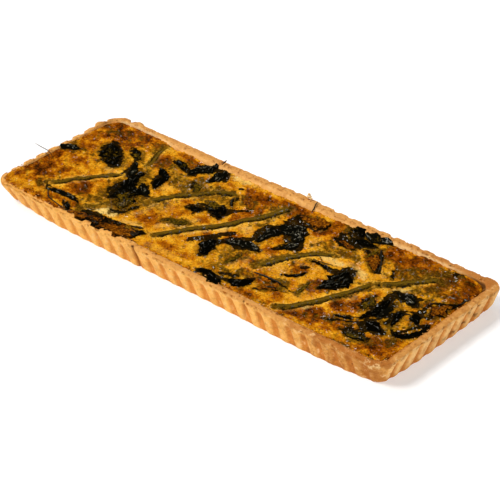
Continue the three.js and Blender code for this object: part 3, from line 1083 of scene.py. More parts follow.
@dataclass
class PastryCase:
    """The fluted shortcrust case.

    Attributes:
        form: sizes of the quiche.
        flute_steps: steps across a flute.
        corner_steps: steps round a corner.
        rim_rows: rows of points across the rim.
        roughness: unevenness of the outside.
        rim_crumble: unevenness of the rim.
        flute_lean: how far a flute leans from the rim to the foot.
        hollow_half: half the width of a flute's hollow at the foot.
        pit_depth: depth of the outside's pits.
        rim_pit_depth: depth of the rim's pits.
        point: how far the back right corner stands out.
        point_inset: how far inside both sides the middle of that lies.
        point_reach: how far round it reaches.
        slump: how far the foot stands out at the front.
        slump_at: where along the front it does, and over what width.
        spill_strength: strength of the custard's mark where it ran over the rim.
        wall_heights: heights of the outside's rows of points.
        insets: how far in the outside lies, by height, before its flutes.
        flute_depths: depth of the flutes, by height.
        ledge_depths: how far the back wall leans in, by height.
        inner_heights: heights of the inside's rows of points, above the floor's.
        underside_insets: how far in the underside's rows of points lie.
        cracks: the splits in the front wall.
        knobs: lumps of the rim, as x, y, height and reach.
        scorches: spots on the right wall, as y and height.
        scorch_reach: size of those spots.
        noise: seeded noise.
    """

    form: QuicheForm
    flute_steps: int = 16
    corner_steps: int = 44
    rim_rows: int = 9
    roughness: float = 0.22
    rim_crumble: float = 0.45
    flute_lean: float = 3.2
    hollow_half: float = 4.7
    pit_depth: float = 0.35
    rim_pit_depth: float = 0.5
    point: float = 2.7
    point_inset: float = 4.0
    point_reach: float = 10.0
    slump: float = 1.6
    slump_at: tuple[float, float] = (105, 48)
    spill_strength: float = 0.8
    wall_heights: tuple[float, ...] = (0, 0.35, 0.9, 1.6, *np.arange(2.3, 17, 0.75), 17.2, 17.7, 18.1)
    insets: Profile = ((0, 4.6), (1.6, 3.6), (14.4, 0.7), (16.4, 0.15), (17.4, 0.2), (18.1, 0.6))
    flute_depths: Profile = ((0, 0.5), (1.6, 1.0), (8, 1.4), (13, 1.2), (15.5, 0.5), (18.5, 0.1))
    ledge_depths: Profile = ((4.5, 0), (12, 1.5), (15.4, 4.2), (17.6, 2.0))
    inner_heights: tuple[float, ...] = (17.6, 16.9, 16.2, 15.4, 14.2, 10.0)
    underside_insets: tuple[float, ...] = (40, 25, 16, 10, 6, 3, 1.2)
    cracks: tuple[Crack, ...] = (Crack(-39, -36, 1.2, 1.3), Crack(63, 61, 0.9, 0.7))
    knobs: Lumps = (
        (-171, 65, 1.0, 4), (-162, 65, -0.9, 3), (-155, 66, 1.5, 4), (-148, 66, -0.4, 2), (-144, 66, 0.6, 3),
        (-181, 42, 1.3, 4), (-181, 33, 0.5, 3), (-181, 20, 0.3, 4), (-180, -6, 0.4, 5), (-180, -34, 0.4, 3),
        (-180, -40, -0.7, 4), (-177, -52, -0.6, 4), (-62, 66, -0.3, 4), (-48, 66, 0.5, 5), (-33, 66, 0.3, 3),
        (1, 66, 0.4, 4), (60, 66, 0.3, 4), (82, 66, 0.4, 3), (101, 66, 0.5, 4), (117, 66, 0.6, 4),
        (139, 66, 0.5, 3), (150, 66, 0.3, 3), (163, 66, 0.7, 3),
    )
    scorches: Profile = ((27, 14.5), (38, 14), (50, 16), (3, 5), (13, 5), (25, 6), (38, 6), (-12, 12))
    scorch_reach: float = 1.7
    noise: Noise = field(default_factory=lambda: Noise(CASE_SEED))

    def spill(self, x: Array, y: Array) -> Array:
        """Gives how much browned custard has run over the rim, which it has round the left end."""
        return self.spill_strength * ramp(-x, 96, 118) * near_front(y) * ramp(x, -176, -166)

    def _left_flutes(self, at: Stations) -> Array:
        """Rises from 0 to 1 at the left end, where the flutes are cut deeper."""
        return ramp(-at.x, 146, 170)

    def _point(self, at: Stations) -> Array:
        """Gives how far the back right corner stands out, where it is tighter than the others."""
        end, side = self.form.length / 2 - self.point_inset, self.form.width / 2 - self.point_inset
        return self.point * hill(at.x, at.y, end, side, self.point_reach)

    def _foot_slump(self, at: Stations, z: Array) -> Array:
        """Gives how far the foot of the wall stands out, or is tucked in at the corners.

        Args:
            at: the stations.
            z: heights up the wall.

        Returns:
            The distances.
        """
        slump = self.slump * ramp(-at.out_y, 0.6, 1) * bell(at.x, *self.slump_at)
        end, side = self.form.length / 2, self.form.width / 2
        tucks = ((end, -side, 2.8, 26), (-end, -side, 6.0, 36), (end, side, 1.2, 22))
        return (slump - lumps(at.x, at.y, tucks)) * np.maximum(0, 1 - z / 14.8)

    def _hollow(self, at: Stations, z: Array) -> Array:
        """Gives how deep in a flute's hollow places on the outside are.

        Args:
            at: the stations.
            z: heights up the wall.

        Returns:
            0 on a crest and 1 in the middle of a hollow, which widens towards the foot.
        """
        down = np.clip(1 - z / 15.5, 0, 1)
        to_end = self.form.length / 2 - self.form.corner_radius - np.abs(at.x)
        to_side = self.form.width / 2 - self.form.corner_radius - np.abs(at.y)
        front = (at.out_y < -0.99) * ramp(to_end, 0, 25)
        right = (at.out_x > 0.99) * ramp(to_side, 0, 12)
        lean = self.flute_lean * down * (front - right)
        apart = np.abs(np.mod(at.part - lean / at.span + 0.5, 1) - 0.5) * at.span
        half = lerp(1.3 + 1.5 * ramp(at.x, -60, 40), self.hollow_half, down**0.65)
        back_right = 0.9 * (at.out_y > 0.9) * ramp(at.x, 10, 50)
        half = lerp(half, np.maximum(half, 3.2), np.maximum(self._left_flutes(at), back_right))
        return 1 - ramp(apart, 0.4 * half, half)

    def _wear(self, at: Stations) -> tuple[Array, Array]:
        """Gives how the rim's outer edge is scalloped and worn.

        Args:
            at: the stations.

        Returns:
            How far inwards it is worn, and how far down.
        """
        hollow = self._hollow(at, np.full(at.run.shape, self.form.height))
        back = at.out_y > 0.9
        at_back = back * ramp(at.x, -60, 20)
        uneven = 0.5 + 0.8 * self.noise.layered(at.run + 800, at.run * 0, 21, 2)
        scallop = (0.2 + 1.3 * self._left_flutes(at) + 0.8 * at_back * uneven) * hollow
        ragged = 0.5 * self.noise.layered(at.run + 300, at.run * 0, 4.5, 3, 0.8)
        worn_down = 0.7 * at_back * uneven * hollow + 0.5 * ragged
        return scallop + (0.4 + 0.5 * back) * np.abs(ragged), worn_down

    def _split(self, at: Stations, z: Array) -> tuple[Array, Array]:
        """Gives the splits in the front wall.

        Args:
            at: the stations.
            z: heights up the wall.

        Returns:
            How deep they are, and how strong the painted shade in them is.
        """
        depth, dark = np.zeros(z.shape), np.zeros(z.shape)
        for crack in self.cracks:
            wander = 0.8 * self.noise.plain(z / 3, z * 0 + crack.top)
            middle = lerp(crack.foot, crack.top, z / self.form.height) + wander
            there = bell(at.x, middle, crack.width) * (at.out_y < -0.9)
            depth = depth + crack.depth * there
            # Painted shade in the split, darker the deeper it is.
            dark = np.maximum(dark, there * min(1.0, crack.depth / 1.3) ** 2)
        return depth, dark

    def _outer(self, at: Stations) -> tuple[Array, dict[str, Array]]:
        """Builds the fluted outside, from the foot up to the rim.

        Args:
            at: the stations.

        Returns:
            Points row by row, and masks for them.
        """
        form, layered = self.form, self.noise.layered
        heights = np.array(self.wall_heights)
        z = np.broadcast_to(heights[:, None], (len(heights), len(at.run)))
        around = np.broadcast_to(at.run[None, :], z.shape)
        waver = 0.6 * layered(around + 500, z, 9, 3)
        hollow = self._hollow(at, z + waver)
        depth = interpolated(z, self.flute_depths)
        depth = lerp(depth, np.maximum(depth, 1.5), self._left_flutes(at)) * (1 + 0.5 * (at.out_x > 0.99))
        rough = self.roughness * layered(around, z, 7, 4, 0.6)
        pits = self.pit_depth * ramp(layered(around + 91, z, 3.2, 2), 0.45, 0.8)
        worn_in, worn_down = self._wear(at)
        split, dark = self._split(at, z)
        inward = interpolated(z, self.insets) + depth * hollow - self._foot_slump(at, z) - rough + pits
        inward = inward - 0.6 * lumps(at.x, at.y, self.knobs) * ramp(z, 9, 17)
        inward = inward + worn_in * ramp(z, 14, 17.2) - self._point(at) * ramp(z, 0, 6) + split
        x, y = at.inwards(inward)
        level = z * form.rim_level(x, y) / form.height - worn_down * ramp(z, 15, 18.1)
        right = at.out_x > 0.9
        scorch = sum(hill(y, z, y1, z1, self.scorch_reach) for y1, z1 in self.scorches) * right
        # Where the hollows take the browner colour and painted shade, weaker towards the left end and fading
        # under the rim.
        recess = hollow * (0.75 + 0.25 * ramp(x, -80, 0)) * (1 - ramp(z + waver, 13.6, 15.4))
        rim = ramp(z + 1.2 * layered(around, z + 20, 5, 3), 15.6, 18.0)
        masks = {
            "recess": recess * (0.85 + 0.3 * layered(around, z, 5, 3)),
            "rim": rim * (0.3 + 0.7 * form.back_or_right(x, y)),
            "stained": ramp(z, 15, 18),
            "inside": 0.5 * right * (1 - hollow) * ramp(z, 1, 5),
            "scorch": scorch * (0.7 + layered(around, z + 9, 2, 2)),
            "spill": self.spill(x, y) * ramp(z + 1.5 * layered(around, z, 4, 2), 16.2, 18.2),
            "crack": dark * 0.8,
        }
        return np.stack([x, y, level], axis=-1), masks

    def _rim(self, at: Stations) -> tuple[Array, dict[str, Array | float]]:
        """Builds the top of the rim, from its outer edge to its inner one.

        Args:
            at: the stations.

        Returns:
            Points row by row, and masks for them.
        """
        form, layered = self.form, self.noise.layered
        part = (np.arange(self.rim_rows) / (self.rim_rows - 1))[:, None]
        worn_in, worn_down = self._wear(at)
        lump = lumps(at.x, at.y, self.knobs)
        ledge = form.ledge(at.x, at.y)
        outer = 0.75 + worn_in - 0.6 * lump - self._point(at)
        inner = form.inner_inset(at.out_x, at.out_y, form.height) + self._inner_edge(at) + 1.6 * ledge
        x, y = at.inwards(lerp(outer, inner, part))
        around = np.broadcast_to(at.run[None, :], x.shape)
        relief = self.rim_crumble * layered(around, part * 5 + 40, 4, 4, 0.7)
        pits = self.rim_pit_depth * ramp(layered(around + 77, part * 5, 2.4, 2), 0.4, 0.8)
        rounding = 0.45 * np.abs(2 * part - 1) ** 3 + 0.5 * (1 - part) ** 3
        rounding = rounding + worn_down * (1 - part) ** 2 + 0.5 * ledge * part**2
        z = form.rim_level(x, y) + relief - rounding - pits + 0.9 * lump * (1 - part)
        crack = np.zeros(x.shape)
        for split in self.cracks:
            there = bell(x, split.top, split.width) * (at.out_y < -0.9) * (1 - part)
            z = z - 0.7 * there
            # Painted shade of the split on the rim, darker the deeper it is.
            crack = np.maximum(crack, there * 0.5 * split.depth)
        masks = {
            "recess": 0.2,
            "rim": 0.3 + 0.7 * form.back_or_right(x, y),
            "stained": ramp(part, 0.1, 0.9) * (0.6 + 0.5 * near_front(y)),
            "inside": ramp(part, 0.75, 1.0) * 0.6 * (1 - 0.85 * ledge) * (1 - ramp(at.x, 135, 165)),
            "spill": self.spill(x, y) * ramp(part + 0.5 * layered(around, part * 5, 5, 3), 0.15, 0.5),
            "crack": crack,
        }
        return np.stack([x, y, z], axis=-1), masks

    def _inner_edge(self, at: Stations) -> Array:
        """Gives how far the rim's inner edge wavers inwards."""
        return 0.6 * self.noise.layered(at.run, at.run * 0 + 50, 8, 3, 0.6)

    def _inner(self, at: Stations) -> tuple[Array, dict[str, Array]]:
        """Builds the inside of the wall, from the rim down to the floor.

        Args:
            at: the stations.

        Returns:
            Points row by row, and masks for them.
        """
        form = self.form
        z = np.array([*self.inner_heights, form.floor])[:, None] + at.run * 0
        high = ramp(z, 12, 18)
        ledge = form.ledge(at.x, at.y)
        inward = form.inner_inset(at.out_x, at.out_y, z) + self._inner_edge(at) * high
        inward = inward + 0.25 * self.noise.layered(at.run + z * 0, z + 70, 6, 3)
        inward = inward + ledge * interpolated(z, self.ledge_depths)
        inward = inward + np.maximum(0, -self._foot_slump(at, z))
        x, y = at.inwards(inward)
        level = np.where(z > 12, z + (form.rim_level(x, y) - form.height) * high, z)
        ledge = ledge * ramp(z, 12, 15)
        corner = ramp(at.x, 135, 165) * ramp(at.y, 30, 52)
        masks = {
            "recess": 0.2 * ledge,
            "rim": 0.5 * ledge,
            "stained": 0.7 * ramp(z, 17.5, 15),
            "inside": (1 - 0.85 * ledge) * (1 - 0.9 * corner),
            "scorch": corner * ramp(z, 17.8, 16.2),
            "spill": self.spill(x, y) * 0.8,
        }
        return np.stack([x, y, level], axis=-1), masks

    def _underside(self, at: Stations, foot: Array) -> tuple[Array, dict[str, Array]]:
        """Builds rings on the underside, from near its middle out to the foot.

        Args:
            at: the stations.
            foot: the lowest points of the outside.

        Returns:
            Points row by row, and masks for them.
        """
        inward = np.array(self.underside_insets)[:, None]
        x = foot[:, 0] - at.out_x * inward
        y = foot[:, 1] - at.out_y * inward
        lift = 0.25 + 0.25 * self.noise.layered(x, y, 12, 3)
        z = np.clip(lift, 0, 1) * ramp(inward, 0, 4)
        return np.stack([x, y, z], axis=-1), {"recess": 0.35 + 0.3 * self.noise.layered(x, y, 20, 3)}

    def build(self) -> bpy.types.Object:
        """Builds and dresses the case.

        Returns:
            The object that replaces the crust.
        """
        at = self.form.stations(self.flute_steps, self.corner_steps)
        outer, outer_masks = self._outer(at)
        rings = [self._underside(at, outer[0]), (outer, outer_masks), self._rim(at), self._inner(at)]
        points = np.concatenate([ring for ring, _ in rings])
        masks = {}
        for name in outer_masks:
            parts = [np.broadcast_to(mask.get(name, 0.0), ring.shape[:2]) for ring, mask in rings]
            masks[name] = np.concatenate(parts).ravel()
        rows, count = points.shape[:2]
        points = points.reshape(-1, 3)
        x, y, _ = points.T
        right_wall = ramp(x, 174, 177)
        toast = 0.06 + 0.75 * ramp(x, 60, 180) * (1 - 0.6 * right_wall) + 0.15 * ramp(y, 20, 60)
        masks["toast"] = (toast + 0.3 * masks["rim"] * near_front(y)) * (1 - masks["inside"])
        masks["blotched"] = 0.35 + 0.65 * np.maximum(0.2 * right_wall, ramp(x, 60, 150) * near_front(y))
        masks["inside"] *= 1 - 0.9 * ramp(-x, 168, 173)
        faces = sheet_faces(rows, count, closed=True).tolist()
        faces.append(list(range(count - 1, -1, -1)))
        faces.append(list(range((rows - 1) * count, rows * count)))
        shell = Shell(points, faces, masks)
        return make_piece("pastry_case", shell, PastryFinish().make(), ["crust"])


@dataclass(frozen=True)
class Patch:
    """A patch of the custard's top: its middle, half sizes, turn in degrees and strength."""

    bake: Bake
    x: float
    y: float
    long: float
    wide: float
    turn: float
    strength: float

    def cover(self, x: Array, y: Array, wander: Array) -> Array:
        """Gives how strongly the patch shows at places.

        Args:
            x: first coordinates.
            y: second coordinates.
            wander: how far the patch's edge is pushed about.

        Returns:
            The strengths.
        """
        angle = math.radians(self.turn)
        dx, dy = x - self.x, y - self.y
        u = (dx * math.cos(angle) + dy * math.sin(angle)) / self.long
        v = (dy * math.cos(angle) - dx * math.sin(angle)) / self.wide
        return self.strength * (1 - ramp(np.hypot(u, v) + wander, 0.45, 1.35))


@dataclass(frozen=True)
class Smear:
    """A streak of the custard's top: points with x, y and full width, strength and soft edge."""

    bake: Bake
    points: Route
    strength: float
    fade: float

    def cover(self, x: Array, y: Array, wander: Array) -> Array:
        """Gives how strongly the streak shows at places.

        Args:
            x: first coordinates.
            y: second coordinates.
            wander: how far the streak's edge is pushed about.

        Returns:
            The strengths.
        """
        widths = [point[2] for point in self.points]
        near = round_route(x, y, self.points, max(widths) / 2 + 4 * self.fade)
        apart, along = path_distance(x[near], y[near], self.points, 10)
        edge = apart - sampled(widths, along) / 2 + 2.2 * wander[near]
        cover = np.zeros(np.shape(x))
        cover[near] = self.strength * (1 - ramp(edge, -self.fade, self.fade))
        return cover


@dataclass(frozen=True)
class Groove:
    """A narrow gap or crease in the custard, by the points that it passes, its width, its depth and the
    strength of the painted shade in it.
    """

    line: Route
    width: float
    depth: float
    dark: float


@dataclass(frozen=True)
class StalkSpec:
    """A stalk: the node that it stands for, the points of its middle line and its end widths."""

    node: str
    line: Route
    widths: tuple[float, float]

    def radius(self, part: Array) -> Array:
        """Gives half the width at parts of the length."""
        return lerp(*self.widths, part) / 2


@dataclass(frozen=True)
class LeafSpec:
    """A leaf: its number and look, the points of its middle line, its widths there and its folds.

    Attributes:
        number: number of the node that it stands for.
        look: how it came out of the oven.
        line: points of the middle line.
        widths: full widths at those points.
        rise: how far its folds stand above the filling.
        tip: how far its first point is lifted.
        pleats: folds that run lengthwise, for a fanned leaf.
        veils: how much custard covers it along its length, or empty for what its look has.
        rib: the middle line of a stalk that shows through it.
    """

    number: int
    look: Look
    line: Route
    widths: tuple[float, ...]
    rise: float
    tip: float = 0.0
    pleats: int = 0
    veils: tuple[float, ...] = ()
    rib: Route = ()

    def half_widths(self, part: Array) -> tuple[Array, Array]:
        """Gives the leaf's width along it.

        Args:
            part: parts of the length.

        Returns:
            Half the width there, and how far the rounded ends cut it down.
        """
        half = sampled(self.widths, part) / 2
        to_end = np.minimum(part, 1 - part) * spline_length(self.line)
        return half, np.clip(to_end / np.maximum(half * 1.6, 1.0), 0.03, 1) ** 0.75

    def veil(self, part: Array) -> Array:
        """Gives how much custard covers it at parts of the length."""
        return sampled(self.veils or DEFAULT_VEILS[self.look], part)


STALKS = (
    StalkSpec("stalk_1", ((-146, -42), (-139, -34), (-129, -19), (-119, -6), (-114, 1)), (5.5, 4)),
    StalkSpec("stalk_2_foot", ((-99, -46), (-94, -41), (-89, -37)), (5, 5)),
    StalkSpec("stalk_2", ((-72, -14), (-62, 4), (-54, 15), (-47, 26), (-39, 32), (-30, 34)), (6, 4.5)),
    StalkSpec(
        "stalk_3",
        ((-38, -43), (-30, -31), (-20, -14), (-11, -2), (-3, 13), (4, 27), (7, 38), (9, 46)), (6, 6),
    ),
    StalkSpec("stalk_4", ((41, -27), (47, -12), (53, 0), (60, 10), (67, 16), (74, 19)), (6, 4.5)),
    StalkSpec("stalk_5", ((83, -55), (90, -47), (99, -30), (105, -16), (110.5, -4), (113, 8)), (6.5, 5)),
    StalkSpec("stalk_6", ((118, 10), (126, 20), (133, 28), (140, 36), (145, 42)), (7, 5)),
    StalkSpec("stalk_7", ((-117, 52), (-115, 42), (-111, 32), (-109, 25)), (3.5, 3.5)),
)

DEFAULT_VEILS = {Look.DARK: (0.1,), Look.GREY: (0.0,), Look.OLIVE: (0.75,), Look.BROWN: (0.7,)}

DARK, GREY, OLIVE, BROWN = Look

LEAVES = (
    LeafSpec(1, GREY, ((-177, -1), (-171, 5), (-163, 8)), (3, 7, 4), 1.6),
    LeafSpec(
        2, DARK, ((-150, 29), (-143, 21), (-136, 14), (-128, 8)), (11, 20, 20, 12), 1.2,
        veils=(0.1, 0.4, 0.4, 0.1),
    ),
    LeafSpec(3, DARK, ((-133, 35), (-127, 31), (-120, 27)), (5, 9, 5), 0.8, veils=(0.2, 0.5, 0.9)),
    LeafSpec(4, GREY, ((-112, 16), (-110, 10), (-107, 4)), (2, 9, 9), 1.5, tip=5.5),
    LeafSpec(
        5, DARK, ((-103, 14), (-102, 3), (-98, -9), (-89, -21), (-80, -33)), (4, 7, 15, 26, 13), 2,
        veils=(0, 0, 0.15, 0.65, 0.7), rib=((-89, -37), (-80, -25), (-72, -14)),
    ),
    LeafSpec(6, DARK, ((-98, 27), (-91, 22), (-86, 14), (-82, 3)), (4, 6, 8, 4), 1.4),
    LeafSpec(7, GREY, ((-94, 3), (-87, -3), (-80, -8)), (4, 8, 7), 2),
    LeafSpec(8, GREY, ((-69, 58), (-73, 51), (-76, 43), (-77, 34)), (14, 21, 14, 5), 2.4),
    LeafSpec(9, GREY, ((-59, 55), (-57, 49), (-58, 42), (-60, 36)), (7, 11, 9, 5), 2.4),
    LeafSpec(10, DARK, ((-97, 44), (-90, 41), (-84, 37)), (4, 7, 4), 1, veils=(0.1, 0.5, 0.2)),
    LeafSpec(11, OLIVE, ((-65, 29), (-60, 24), (-56, 19)), (4, 6, 3), 0.8, veils=(0.7,)),
    LeafSpec(
        12, DARK, ((-40, 15), (-33, 13), (-25, 10), (-20, 3)), (6, 12, 16, 6), 1.6,
        veils=(1.1, 0.7, 0.1, 0),
    ),
    LeafSpec(13, DARK, ((-29, 29), (-27, 25), (-25, 22)), (2, 2.5, 2), 0.6),
    LeafSpec(14, BROWN, ((-25, 38), (-18, 33), (-11, 28)), (4, 7, 5), 0.8, veils=(1.1, 0.9, 1.1)),
    LeafSpec(15, DARK, ((-48, -1), (-42, 1), (-37, 5)), (5, 8, 4), 0.9, veils=(0.5, 0.3, 0.2)),
    LeafSpec(
        16, BROWN, ((-105, -61), (-93, -58), (-77, -56), (-60, -55.5), (-44, -46)), (3, 10, 15, 17, 4), 1.4,
        veils=(0.9, 0.7, 0.4, 1.0, 0.1),
    ),
    LeafSpec(
        17, GREY, ((-142, -47), (-135, -47), (-127, -45), (-118, -46), (-108, -48)), (2, 4, 5, 4, 2), 1.5,
    ),
    LeafSpec(18, DARK, ((-116, -52), (-111, -56), (-107, -59)), (2, 4, 3), 0.8),
    LeafSpec(19, DARK, ((-4, -19), (-1, -29), (3, -39)), (8, 14, 9), 1.8),
    LeafSpec(20, GREY, ((4, -17), (12, -13), (20, -11), (30, -12)), (6, 10, 10, 4), 2.2),
    LeafSpec(
        21, GREY, ((21, -3), (21, 8), (23, 20), (29, 26), (35, 24), (39, 17), (42, 9), (37, 1)),
        (4, 7, 12, 16, 12, 9, 10, 5), 1.8, veils=(0, 0, 0, 0, 0, 0.3, 0.4, 0.2),
    ),
    LeafSpec(
        22, BROWN, ((21, 42), (30, 44), (40, 45), (46, 40)), (7, 11, 11, 5), 1.2,
        veils=(0.5, 1.0, 0.8, 0.2),
    ),
    LeafSpec(23, DARK, ((60, 57), (65, 54.5), (71, 50)), (6, 12, 8), 1.8, veils=(0.5, 0.3, 0.2)),
    LeafSpec(
        24, GREY, ((69, 56), (77, 55), (85, 56), (93, 57)), (7, 10, 6, 2), 1.6, veils=(0.4, 0.4, 0.3, 0),
    ),
    LeafSpec(25, DARK, ((70, 44), (77, 45), (85, 46)), (8, 12, 8), 1.4),
    LeafSpec(26, BROWN, ((61, 38), (68, 36), (77, 34)), (8, 9, 6), 0.8, veils=(0.4, 0.6, 0.9)),
    LeafSpec(27, OLIVE, ((89, 45), (90, 37), (90, 30)), (3, 3, 2), 0.6),
    LeafSpec(28, BROWN, ((92, 39), (97, 31), (104, 22)), (8, 13, 8), 1.2, veils=(0.5, 0.8, 0.6)),
    LeafSpec(
        29, DARK, ((92, 9), (93.5, 2), (94, -5), (92, -12), (89, -19)), (17, 23, 22, 13, 5), 1.7, pleats=5,
    ),
    LeafSpec(30, DARK, ((64, 3), (71, 4), (78, 4)), (2, 3, 2), 0.6),
    LeafSpec(31, OLIVE, ((80.5, -17), (81.5, -25), (83, -33)), (2, 3, 2), 0.6),
    LeafSpec(32, DARK, ((61, -22), (68, -18), (71, -9)), (2, 3, 2), 0.8),
    LeafSpec(33, DARK, ((14, -55), (22, -54), (31, -57), (38, -60)), (6, 9, 9, 3), 1.6),
    LeafSpec(34, DARK, ((37, -51), (44, -50), (49, -46), (50, -40)), (5, 8, 9, 4), 1.6),
    LeafSpec(35, BROWN, ((60, -47), (63, -39), (67, -32)), (6, 13, 15), 1.0, veils=(0.9, 1.2, 1.1)),
    LeafSpec(36, GREY, ((131, 11), (140, 10), (149, 8)), (8, 14, 9), 2.6),
    LeafSpec(37, DARK, ((133, 1), (134.5, -10), (134, -20), (132, -28)), (6, 7, 5, 4), 1.8),
    LeafSpec(38, GREY, ((140, -4), (140, -13), (139, -21)), (4, 5, 3), 1.8, veils=(0.4, 0.2, 0.3)),
    LeafSpec(39, DARK, ((148, -5), (150, -13), (152.5, -22)), (5, 5, 3), 1.8, veils=(0.3, 0.1, 0.3)),
    LeafSpec(40, DARK, ((138, -31), (145, -31), (152, -32)), (9, 13, 9), 2.4, pleats=2),
    LeafSpec(41, GREY, ((135, -47), (142, -46), (150, -45)), (9, 13, 8), 2.2, veils=(0.6, 0.6, 0.5)),
    LeafSpec(42, DARK, ((117, -37), (123, -34), (128, -32)), (2, 3, 3), 0.8),
    LeafSpec(43, DARK, ((123, -3), (126, -11), (127, -19)), (5, 7, 5), 1.0, veils=(0.7,)),
    LeafSpec(
        44, BROWN, ((172, 27), (167, 19), (165, 10), (165, 2)), (3, 10, 12, 9), 1.6,
        veils=(0, 0.6, 0.8, 0.4),
    ),
    LeafSpec(45, DARK, ((155, 0), (159, -5), (164, -9)), (5, 7, 4), 1.4),
    LeafSpec(46, DARK, ((157, -25), (163, -27), (169, -22), (171.5, -13), (170, -5)), (2, 5, 6, 5, 2), 1.6),
    LeafSpec(47, OLIVE, ((-47, -24), (-38, -20), (-30, -16)), (6, 8, 6), 0.5),
    LeafSpec(48, OLIVE, ((23, -21), (23, -29), (21, -37)), (3, 4, 3), 0.5),
)


def patches_of(bake: Bake, *rows: tuple[float, float, float, float, float, float]) -> list[Patch]:
    """Makes patches of one kind from rows of x, y, half length, half width, turn and strength."""
    return [Patch(bake, *row) for row in rows]


def smears_of(bake: Bake, strength: float, fade: float, *routes: Route) -> list[Smear]:
    """Makes smears of one kind and strength from their routes."""
    return [Smear(bake, route, strength, fade) for route in routes]


